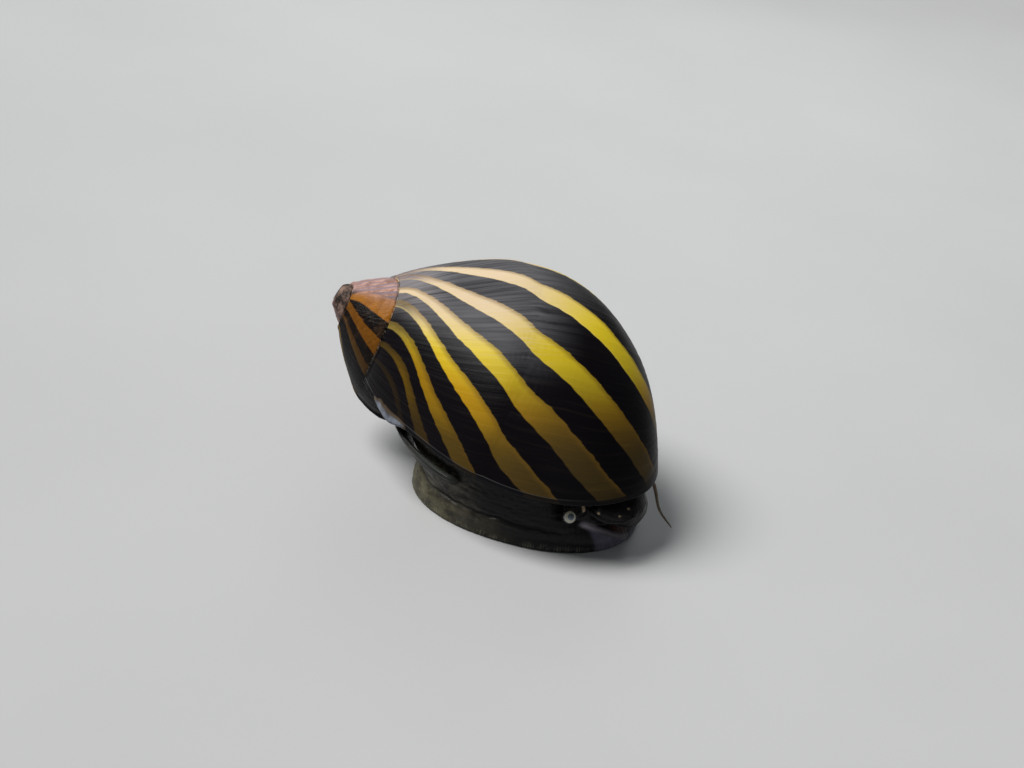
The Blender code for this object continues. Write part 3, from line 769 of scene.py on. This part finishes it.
def build_skin():
    """The skin of the foot, head, stalks and feelers, with its relief and its marks."""
    spots, quads, edges = remeshed(*flesh_pieces(), VOXEL)
    spots = relaxed(spots, edges)
    normal = vertex_normals(spots, quads)
    x, y, z = spots.T
    side = 1 - np.abs(normal[:, 2])
    far_feeler = near_line(spots, spline(LEFT_FEELER, 8), 0.5)
    body = 1 - np.maximum(near_line(spots, spline(RIGHT_FEELER, 8), 0.5), far_feeler)
    bearing = np.arctan2(y - SOLE_EDGE["wide_y"], x - SOLE_EDGE["wide_x"])
    # Scallops along the edge of the sole, folds and creases of the foot, small lumps all over
    rim = smoothstep(0.60, 0.20, z) * smoothstep(0.02, 0.12, z) * side
    scallop = np.cos(bearing * SCALLOPS + 7.0 * waves(x, y, 3.0, 41)) * (0.45 + 0.55 * waves(x, y, 0.8, 51))
    relief = 0.020 * rim * scallop
    share = (z - FLANK_FROM) / (lip_plane(x, y) - FOOT_UNDER_LIP - FLANK_FROM)
    folds = smoothstep(0.10, 0.20, share) * smoothstep(1.0, 0.9, share) * side * body
    relief += folds * smoothstep(8.0, 6.0, x) * (0.022 * waves(x * 0.35, z * 2.2 + 0.25 * x, 1.0, 42)
                                                 + 0.010 * waves(x * 0.8, z * 4.5, 1.0, 43))
    crease = CREASE_SHARE + 0.03 * waves(x, y, 3.5, 44) + 0.015 * waves(x, y, 1.2, 45)
    crease_groove_and_shade = np.exp(-((share - crease) / 0.028) ** 2) * side * body * smoothstep(8.0, 5.0, x)
    relief -= 0.17 * crease_groove_and_shade
    upper_crease = 0.86 + 0.03 * waves(x, y, 2.6, 52)
    relief -= 0.05 * np.exp(-((share - upper_crease) / 0.025) ** 2) * side * body * smoothstep(4.0, 0.0, x)
    relief += body * (0.010 * waves(x + z, y - z, 0.5, 46) + 0.008 * waves(x - z, y + 0.5 * z, 0.28, 47))
    # The mouth, low on the front of the snout, and the low fold behind the front lobe
    relief -= MOUTH_DEPTH * np.exp(-(((spots - MOUTH_AT) / MOUTH_SIZE) ** 2).sum(1))
    fold_line = spline(FOLD_ROUTE, 8)
    fold = near_line(spots, fold_line, 0.36)
    relief += 0.13 * near_line(spots, fold_line, 0.34)
    spots = spots + normal * (relief * smoothstep(0.0, 0.1, z))[:, None]
    spots[:, 2] = np.maximum(spots[:, 2], 0.0)

    # Marks for the colours
    x, y, z = spots.T
    lobe = (smoothstep(-0.05, 0.30, x - 8.30 + 0.53 * z + 0.1 * waves(y, z, 2.0, 48))
            * smoothstep(0.10, -0.08, z - 1.75 + 0.52 * (x - 7.2)))
    # Olive-grey on the rear of the foot and on its left side: partly the skin's own colour, partly painted
    # light on the rear
    pale = smoothstep(2.2, -3.4, x + 1.0 * waves(x, z * 2, 3.0, 49)) * smoothstep(1.05, 0.80, share)
    pale_left = 0.8 * smoothstep(1.05, 0.8, share) * smoothstep(6.0, 2.0, x)
    pale = np.where(y > 0, np.maximum(pale, pale_left), pale)
    band = smoothstep(crease + 0.02, crease - 0.04, share)
    band *= smoothstep(4.0, -3.0, x + 1.0 * waves(x, y, 3.0, 50))
    spot = np.zeros(len(spots))
    for place, size in SPOTS:
        spot = np.maximum(spot, 1 - smoothstep(0.3 * size, size, np.linalg.norm(spots - place, axis=1)))
    from_brown = np.linalg.norm((spots - BROWN_AT) * (1.0, 1.0, 1.6), axis=1)
    return finish_object("flesh_skin", spots, quads.tolist(), dict(
        dusky=near_line(spots, spline(DUSKY_ROUTE, 6), 0.55), pale=pale, band=band, lobe=lobe, fold=fold,
        spot=spot, brown=smoothstep(1.3, 0.5, from_brown) * (1 - lobe),
        speck=rim * smoothstep(0.1, 0.9, scallop),
        feeler=near_line(spots, spline(LEFT_FEELER, 8), 0.5), crease=crease_groove_and_shade))


skin = build_skin()
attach(skin, "root")
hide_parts("foot", "foot_sole", "foot_front_lobe", "head", "mantle", "eyestalk_right",
            "eyestalk_left", "tentacle_right_root", "tentacle_right_middle", "tentacle_right_tip",
            "tentacle_left_root", "tentacle_left_middle", "tentacle_left_tip")


# Lid and eyes

def build_lid():
    """The lid: a curved plate with growth ridges, thick in the middle and thin at its rim."""
    up, out = (squared(wave, 0.7) for wave in around(LID_AROUND))
    out = 0.52 + 0.46 * out
    rings, ridge = [], []
    for share in np.arange(LID_STEPS + 1) / LID_STEPS:
        taper = math.sqrt(math.sin(math.pi * min(max(share, LID_END), 1 - LID_END)))
        pinch = min(1.0, math.sqrt(min(1.0, share / 0.02, (1 - share) / 0.02) + 0.02))
        part = LID_MIDDLE + up * LID_HALF_HEIGHT * taper * pinch
        growth = np.cos(2 * math.pi * (up * 3.1 + share * 2.0))
        grow = LID_GAP + (out + 0.05 * growth * (out > 0.6)) * LID_THICK * pinch
        turn = math.radians(LID_FROM_ANGLE + (LID_TO_ANGLE - LID_FROM_ANGLE) * share)
        c, s = math.cos(turn), math.sin(turn)
        shape = between(FOOT_LOW, FOOT_TOP, part)
        reach_x, reach_y = oval_reach(shape, c, s, grow)
        x, y = shape["wide_x"] + reach_x * c, shape["wide_y"] + reach_y * s
        z = FOOT_BOTTOM + (lip_plane(x, y) - FOOT_UNDER_LIP - FOOT_BOTTOM) * part
        rings.append(np.stack([x, y, z], -1))
        ridge.append(growth)
    points, faces = closed_rings(rings, [rings[0].mean(0), rings[-1].mean(0)])
    return finish_object("lid", points, faces, dict(
        ridge=np.concatenate([*ridge, [0.0, 0.0]]),
        height=np.concatenate([np.tile(up, len(rings)), [0.0, 0.0]])))


lid = build_lid()
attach(lid, "root")
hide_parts("operculum")


def build_eye(side, sign):
    """An eyeball with a slightly raised pupil, and how far each point lies from where it looks."""
    gaze = unit(np.array((0.43, 0.73 * sign, 0.53)))
    across = unit(np.cross(gaze, (0, 0, 1.0)))
    centre = eye_centre(sign)
    c, s = around(EYE_AROUND)
    circle = c[:, None] * across + s[:, None] * np.cross(across, gaze)
    from_gaze = 180.0 * np.arange(1, EYE_STEPS) / EYE_STEPS
    rings = []
    for degrees in from_gaze:
        size = EYE_RADIUS * (1 - 0.05 * math.exp(-((degrees - 34) / 7) ** 2))
        a = math.radians(degrees)
        rings.append(centre + size * (gaze * math.cos(a) + circle * math.sin(a)))
    points, faces = closed_rings(rings, [centre + gaze * EYE_RADIUS, centre - gaze * EYE_RADIUS])
    return finish_object(f"eyeball_{side}", points, faces,
                         dict(gaze=np.concatenate([np.repeat(from_gaze, EYE_AROUND), [0.0, 180.0]])))


eyes = []
for side, sign in (("right", -1), ("left", 1)):
    eye = build_eye(side, sign)
    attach(eye, "root")
    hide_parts(f"eye_{side}")
    eyes.append(eye)


# Materials

class Value:
    """What a node gives, with arithmetic that adds nodes for it."""

    def __init__(self, shader, socket):
        self.shader, self.socket = shader, socket

    def __add__(self, other):
        return self.shader.math("ADD", self, other)

    def __sub__(self, other):
        return self.shader.math("SUBTRACT", self, other)

    def __rsub__(self, other):
        return self.shader.math("SUBTRACT", other, self)

    def __mul__(self, other):
        return self.shader.math("MULTIPLY", self, other)

    def step(self, low, high):
        """0 below low and 1 above high, or the reverse where low is the larger."""
        ends = (1.0, 0.0) if low > high else (0.0, 1.0)
        return self.shader.node("ShaderNodeMapRange", {
            "Value": self, "From Min": min(low, high), "From Max": max(low, high),
            "To Min": ends[0], "To Max": ends[1]}, interpolation_type="SMOOTHSTEP")


class Shader:
    """A material's node tree, with short calls for the nodes used here."""

    def __init__(self, name):
        self.material = bpy.data.materials.new(name)
        self.material.use_nodes = True
        self.tree = self.material.node_tree
        self.main = self.tree.nodes["Principled BSDF"]

    def feed(self, socket, value):
        if isinstance(value, Value):
            self.tree.links.new(value.socket, socket)
        else:
            socket.default_value = value

    def node(self, kind, inputs=None, output=0, **settings):
        made = self.tree.nodes.new(kind)
        for key, value in settings.items():
            setattr(made, key, value)
        for key, value in (inputs or {}).items():
            self.feed(made.inputs[key], value)
        return Value(self, made.outputs[output])

    def value(self, name):
        return self.node("ShaderNodeAttribute", output="Fac", attribute_name=name)

    def values(self, *names):
        return SimpleNamespace(**{name: self.value(name) for name in names})

    def math(self, operation, a, b):
        return self.node("ShaderNodeMath", {0: a, 1: b}, operation=operation)

    def mix(self, share, a, b):
        """Colour a where share is 0 and b where it is 1."""
        made = self.tree.nodes.new("ShaderNodeMix")
        made.data_type = "RGBA"
        for index, value in ((0, share), (6, a), (7, b)):
            self.feed(made.inputs[index], (*value, 1) if isinstance(value, tuple) else value)
        return Value(self, made.outputs[2])

    def layers(self, colour, *coats):
        """A colour with coats of other colours over it, each after its share."""
        for share, coat in coats:
            colour = self.mix(share, colour, coat)
        return colour

    def place(self):
        """Position in mm."""
        spot = self.node("ShaderNodeTexCoord", output="Object")
        return self.node("ShaderNodeVectorMath", {0: spot, "Scale": 1000.0}, operation="SCALE")

    def axis(self, place, index):
        """One coordinate of a place: 0 ahead, 1 left, 2 up."""
        return self.node("ShaderNodeSeparateXYZ", {0: place}, output=index)

    def vector(self, x, y):
        return self.node("ShaderNodeCombineXYZ", {0: x, 1: y})

    def noise(self, vector, scale, detail, rough=0.55):
        return self.node("ShaderNodeTexNoise", {"Vector": vector, "Scale": scale, "Detail": detail,
                                                "Roughness": rough}, output="Fac")

    def bump(self, height, depth_mm, strength, below=None):
        inputs = {"Height": height, "Distance": depth_mm * MM, "Strength": strength}
        if below is not None:
            inputs["Normal"] = below
        return self.node("ShaderNodeBump", inputs)

    def finish(self, obj, colour, roughness, normal, **numbers):
        for key, value in (("Base Color", colour), ("Roughness", roughness), ("Normal", normal)):
            self.feed(self.main.inputs[key], value)
        for key, value in numbers.items():
            self.main.inputs[key.replace("_", " ")].default_value = value
        obj.data.materials.clear()
        obj.data.materials.append(self.material)


def shell_marks(s):
    """The shell's attributes, with the noises and the shares that several of its colours need."""
    m = s.values("inside", "upper", "bright", "across", "turn", "growth", "under", "wall", "pad",
                 "from_edge")
    m.place = s.place()
    m.ahead, m.height = s.axis(m.place, 0), s.axis(m.place, 2)
    m.streaks = s.vector(m.growth * 0.55, m.across * 1.1)
    m.fine = s.noise(m.streaks, 1.0, 4.0, 0.65)
    m.finer = s.noise(m.streaks, 3.2, 3.0, 0.6)
    m.wide = s.noise(s.vector(m.growth * 0.05, m.across * 0.8), 1.0, 2.0)
    m.grime = s.noise(m.place, 1.6, 5.0, 0.7)
    m.pits = s.noise(m.place, 5.0, 4.0, 0.7)
    # The edges of the stripes: crisp below, dusky and torn above
    torn = (m.fine - 0.5) * (m.upper * 0.16 + 0.07)
    m.striped = (m.inside + torn).step(-0.03, 0.05) * m.bright
    # Painted sheen: lighter streaks high on the upper side, where the light falls
    m.silk = m.height.step(9.4, 12.4) * m.across.step(1.6, 1.0)
    m.past_belly = m.turn.step(-222.0, -130.0)
    return m


def stripe_colour(s, m):
    """Light stripes: gold in the middle, cream towards the suture, olive-brown towards the lip. The cream on
    top is partly painted sheen, and the browns low down partly painted shade.
    """
    gold = s.mix(m.wide, (0.52, 0.37, 0.008), (0.72, 0.55, 0.022))
    cream = s.mix(m.wide, (0.55, 0.42, 0.25), (0.61, 0.47, 0.31))
    orange = s.mix(m.wide, (0.43, 0.215, 0.003), (0.60, 0.335, 0.006))
    grey = s.mix(m.fine, (0.10, 0.078, 0.085), (0.23, 0.18, 0.19))
    # Orange and olive-brown lower down: partly the stripes' own colour, partly painted shade
    upward, lower = m.height - m.ahead * 0.25, m.height + m.wide * 1.2
    # Cream high on the upper side: partly the stripes' own colour, partly painted sheen where the light
    # falls
    bright = upward.step(10.3, 13.0) * m.turn.step(80.0, 50.0) * m.across.step(2.1, 0.6)
    # Beside the suture: on the upper side, and painted shade below the spire
    faint = m.across.step(0.44, 0.16) * m.turn.step(28.0, 2.0) * m.past_belly
    painted_spire_shade = 0.8 - m.turn.step(50.0, 62.0) * 0.22
    painted_spire_shade = painted_spire_shade * m.across.step(0.36, 0.12) * m.turn.step(30.0, 41.0)
    # Darker towards the lip, most at the front: partly the stripes' own colour, partly painted shade
    near_lip = m.growth.step(-62.0, -12.0) * (m.ahead.step(-4.0, 6.0) * 0.75 + 0.20)
    border = m.inside.step(0.14, 0.05) * (0.35 - m.upper * 0.35) * m.growth.step(-30.0, -75.0)
    return s.layers(
        gold, (bright, cream), (lower.step(11.2, 8.6), orange),
        (lower.step(8.9, 6.0) * 0.85, (0.090, 0.058, 0.010)),
        (faint * 0.95, grey), (painted_spire_shade, (0.05, 0.042, 0.022)), (near_lip, (0.050, 0.032, 0.010)),
        # Dusky at the upper edges and paler along the lower ones
        (m.inside.step(0.40, 0.02) * m.upper * 0.6, (0.13, 0.07, 0.010)), (border, (0.66, 0.50, 0.20)),
        # Fine lines of growth, with painted sheen on them where the light falls
        (m.finer.step(0.55, 0.85) * 0.25, (0.24, 0.13, 0.02)),
        (m.silk * m.finer.step(0.45, 0.80) * 0.40, (0.66, 0.60, 0.52)))


def dark_colour(s, m):
    """The black between the stripes, with painted sheen as silky grey on top, and pale grey beside the
    suture that is partly its own colour and partly painted sheen.
    """
    dark = s.mix(m.fine.step(0.50, 0.85), (0.0030, 0.0022, 0.003), (0.011, 0.008, 0.006))
    # Pale grey beside the suture: partly the shell's own colour, partly painted sheen
    suture_grey_and_sheen = m.across.step(0.50, 0.20) * m.turn.step(60.0, 20.0) * m.past_belly
    return s.layers(dark, (m.silk * m.fine.step(0.15, 0.75), (0.100, 0.098, 0.104)),
                    (suture_grey_and_sheen * m.fine.step(0.10, 0.75), (0.235, 0.215, 0.22)))


def worn_colour(s, m):
    """The worn spire: amber stripes on umber, a pink-grey veil above and pale beads at the suture."""
    copper = s.mix(m.grime.step(0.30, 0.72), (0.20, 0.085, 0.040), (0.60, 0.36, 0.29))
    amber = s.mix(m.grime, (0.15, 0.045, 0.004), (0.42, 0.16, 0.010))
    umber = s.mix(m.grime.step(0.45, 0.85), (0.005, 0.0035, 0.003), (0.050, 0.026, 0.012))
    veil = s.mix(s.noise(m.streaks, 0.35, 3.0).step(0.40, 0.62), copper, (0.23, 0.17, 0.19))
    tip = s.mix(m.grime.step(0.35, 0.70), (0.012, 0.009, 0.008), (0.26, 0.17, 0.13))
    beads = m.across.step(0.93, 0.985) * m.pits.step(0.45, 0.60)
    return s.layers(
        umber, (m.striped, amber), (m.turn.step(-308.0, -336.0), veil),
        (m.pits.step(0.66, 0.78) * 0.22, (0.50, 0.40, 0.30)),
        ((m.turn + m.grime * 60.0).step(-500.0, -600.0), tip), (beads * 0.8, (0.62, 0.56, 0.46)))


def lip_colour(s, m, colour):
    """The lip over a colour: a dark band with a faint light line above it, painted as a highlight, its rim
    and the underside.
    """
    edge = m.from_edge + m.wide * 0.14
    # A faint light line painted as a highlight along the rim on the right
    line = edge.step(0.62, 0.50) * edge.step(0.36, 0.46) * m.turn.step(70.0, 90.0) * 0.5
    # Darker within about 2 mm of the edge at the front: partly the shell's own colour, partly painted shade
    at_front = m.turn.step(85.0, 55.0) * m.turn.step(-10.0, 25.0)
    band = edge.step(0.48, 0.36) * m.turn.step(-25.0, 5.0) * 0.9
    rim = s.mix(m.fine, (0.012, 0.012, 0.014), (0.07, 0.07, 0.075))
    below = s.mix(s.noise(m.place, 0.9, 3.0), (0.16, 0.15, 0.11), (0.42, 0.40, 0.33))
    rear = s.mix(m.fine, (0.006, 0.005, 0.005), (0.03, 0.022, 0.016))
    on_wall = s.mix(m.fine, (0.012, 0.010, 0.009), (0.05, 0.04, 0.03))
    return s.layers(
        colour, (line, (0.085, 0.082, 0.080)), (edge.step(1.9, 0.25) * at_front, (0.004, 0.0035, 0.004)),
        (band, (0.005, 0.005, 0.006)), (m.under.step(0.10, 0.45) * 0.85, rim),
        (m.under.step(0.50, 0.60), below), (m.under.step(0.40, 0.55) * m.ahead.step(-4.6, -6.0), rear),
        (m.wall.step(0.25, 0.75), on_wall))


def shell_material():
    s = Shader("nerite_shell")
    m = shell_marks(s)
    worn = m.turn.step(-228.0, -262.0)
    seam = m.across.step(0.012, 0.002) * m.turn.step(-600.0, -590.0)
    colour = s.layers(dark_colour(s, m), (m.striped, stripe_colour(s, m)), (worn, worn_colour(s, m)),
                      (seam * 0.7, (0.03, 0.018, 0.012)))
    # The pad of the inner lip: pearl with a brown edge
    pearl = s.mix(s.noise(m.place, 1.3, 4.0).step(0.35, 0.62), (0.050, 0.053, 0.060), (0.165, 0.180, 0.210))
    colour = s.layers(lip_colour(s, m, colour), (m.pad.step(0.0, 0.20) * 0.85, (0.070, 0.050, 0.032)),
                      (m.pad.step(0.25, 0.60), pearl))
    normal = s.bump(m.fine * 0.7 + m.finer * 0.45, 0.030, 0.8)
    normal = s.bump((m.pits + m.grime) * worn, 0.014, 0.5, normal)
    roughness = m.fine * 0.16 + 0.30 - worn * 0.08
    roughness = s.mix(m.under.step(0.02, 0.10), roughness, (0.20, 0.20, 0.20))
    s.finish(shell, colour, roughness, normal, Specular_IOR_Level=0.06)


def skin_material():
    s = Shader("nerite_flesh")
    m = s.values("pale", "band", "lobe", "fold", "spot", "brown", "speck", "feeler", "crease", "dusky")
    place = s.place()
    stretched = s.node("ShaderNodeVectorMath", {0: place, 1: (0.6, 0.6, 1.2)}, operation="MULTIPLY")
    mottle = s.noise(stretched, 1.3, 5.0, 0.65)
    cells = s.node("ShaderNodeTexVoronoi", {"Vector": place, "Scale": 5.5}, output="Distance")
    black = s.mix(mottle, (0.0025, 0.002, 0.0025), (0.008, 0.007, 0.008))
    olive = s.mix(mottle.step(0.30, 0.75), (0.012, 0.011, 0.008), (0.125, 0.112, 0.080))
    sole = s.mix(mottle.step(0.25, 0.75), (0.020, 0.017, 0.010), (0.125, 0.112, 0.066))
    violet = s.mix(mottle, (0.034, 0.029, 0.045), (0.135, 0.122, 0.165))
    brownish = s.mix(mottle, (0.10, 0.07, 0.045), (0.28, 0.21, 0.14))
    # The fold is palest beside the eye and fades ahead
    fading = s.axis(place, 0).step(8.9, 7.3) * 0.62 + 0.28
    colour = s.layers(
        black, (m.pale * mottle.step(0.30, 0.55), olive), (m.band * 0.85, sole),
        # Painted shade in the crease along the foot
        (m.crease * 0.8, (0.004, 0.0035, 0.003)), (m.lobe * 0.9, violet),
        (m.fold.step(0.10, 1.0) * fading, (0.31, 0.275, 0.31)),
        (m.brown * mottle.step(0.40, 0.60), (0.050, 0.016, 0.010)),
        (cells.step(0.16, 0.06) * m.band * 0.35, (0.26, 0.27, 0.20)),
        (m.dusky * 0.8, (0.045, 0.040, 0.040)), (m.speck * 0.55, (0.20, 0.20, 0.14)),
        (m.spot * mottle.step(0.20, 0.55), (0.48, 0.36, 0.22)), (m.feeler * 0.85, brownish))
    normal = s.bump(s.noise(place, 6.0, 4.0, 0.6) + cells * 0.8, 0.020, 0.6)
    roughness = mottle * 0.25 + (m.band * 0.2 + 0.22)
    s.finish(skin, colour, roughness, normal, Specular_IOR_Level=0.16, Coat_Weight=0.02, Coat_Roughness=0.12)


def lid_material():
    s = Shader("nerite_lid")
    m = s.values("ridge", "height")
    place = s.place()
    mottle = s.noise(place, 1.8, 4.0)
    olive = s.mix(mottle, (0.006, 0.007, 0.006), (0.034, 0.037, 0.030))
    colour = s.layers(olive, (m.ridge.step(0.2, 0.9) * 0.3, (0.06, 0.063, 0.052)),
                      (m.height.step(-0.55, -0.95), (0.014, 0.011, 0.008)))
    normal = s.bump(s.noise(place, 7.0, 4.0), 0.02, 0.6)
    s.finish(lid, colour, mottle * 0.2 + 0.30, normal,
             Specular_IOR_Level=0.14, Coat_Weight=0.02, Coat_Roughness=0.12)


def eye_material():
    s = Shader("nerite_eye")
    gaze = s.value("gaze")
    mottle = s.noise(s.place(), 5.0, 3.0)
    wobbly = gaze + (mottle - 0.5) * 8.0
    pupil = s.mix(gaze.step(0.0, 22.0), (0.012, 0.018, 0.030), (0.055, 0.080, 0.115))
    ring = s.mix(mottle, (0.24, 0.23, 0.18), (0.52, 0.49, 0.39))
    colour = s.layers(pupil, (wobbly.step(27.0, 33.0), ring),
                      (wobbly.step(52.0, 66.0), (0.035, 0.033, 0.032)))
    normal = s.bump(mottle, 0.01, 0.4)
    for eye in eyes:
        s.finish(eye, colour, 0.12, normal, Coat_Weight=0.8, Coat_Roughness=0.03)


def floor_material(floor):
    s = Shader("pale_floor")
    place = s.place()
    cloudy = s.noise(place, 0.03, 3.0)
    colour = s.mix(cloudy, (0.40, 0.40, 0.396), (0.45, 0.45, 0.446))
    s.finish(floor, colour, cloudy * 0.1 + 0.5, s.bump(s.noise(place, 1.5, 3.0), 0.01, 0.3))


shell_material()
skin_material()
lid_material()
eye_material()


# Floor, light and camera: places in mm

FLOOR_REACH = 3000.0
SUN_FROM, SUN_STRENGTH, SUN_WIDTH = (-0.53, -0.13, 0.84), 4.3, 32.0
# The camera of the photo: its place and its three directions
CAMERA_AT = (23.558, -109.855, 60.114)
CAMERA_RIGHT = (0.94775, 0.27788, 0.15673)
CAMERA_UP = (-0.25801, 0.37861, 0.88888)
CAMERA_BACK = (0.18766, -0.88288, 0.43051)
LENS, SENSOR_WIDTH = 69.76, 36.0


def add_floor():
    """A wide, flat and pale floor."""
    mesh = bpy.data.meshes.new("floor")
    reach = FLOOR_REACH * MM
    corners = [(x * reach, y * reach, 0) for x, y in ((-1, -1), (1, -1), (1, 1), (-1, 1))]
    mesh.from_pydata(corners, [], [(0, 1, 2, 3)])
    floor = add_object("floor", mesh)
    floor_material(floor)


def add_light(name, spot, aim, size, watts, colour):
    """A square soft light, placed in mm."""
    data = bpy.data.lights.new(name, "AREA")
    data.shape = "RECTANGLE"
    data.size, data.size_y = (c * MM for c in size)
    data.energy = watts
    data.color = colour
    light = add_object(name, data)
    light.location = Vector(spot) * MM
    light.rotation_euler = (Vector(aim) - Vector(spot)).to_track_quat("-Z", "Y").to_euler()


def add_sun():
    """A broad soft light from far away, so that the floor is evenly lit."""
    data = bpy.data.lights.new("key", "SUN")
    data.energy = SUN_STRENGTH
    data.angle = math.radians(SUN_WIDTH)
    light = add_object("key", data)
    light.rotation_euler = Vector(SUN_FROM).to_track_quat("Z", "Y").to_euler()


def add_camera():
    data = bpy.data.cameras.new("camera")
    data.lens = LENS
    data.sensor_width = SENSOR_WIDTH
    data.clip_start = 0.005
    camera = add_object("camera", data)
    turned = Matrix((CAMERA_RIGHT, CAMERA_UP, CAMERA_BACK)).transposed().to_4x4()
    camera.matrix_world = Matrix.Translation(Vector(CAMERA_AT) * MM) @ turned
    bpy.context.scene.camera = camera


add_floor()
add_sun()
add_light("fill", (90.0, -120.0, 60.0), (0.0, -2.0, 5.0), (120.0, 90.0), 0.012, (0.92, 0.96, 1.0))
add_light("back", (-30.0, 120.0, 70.0), (0.0, 0.0, 7.0), (120.0, 60.0), 0.03, (0.95, 0.98, 1.0))
world = bpy.data.worlds.new("studio")
bpy.context.scene.world = world
world.use_nodes = True
world.node_tree.nodes["Background"].inputs["Color"].default_value = (0.85, 0.90, 0.95, 1)
world.node_tree.nodes["Background"].inputs["Strength"].default_value = 0.15
bpy.context.scene.view_settings.view_transform = "Standard"
add_camera()
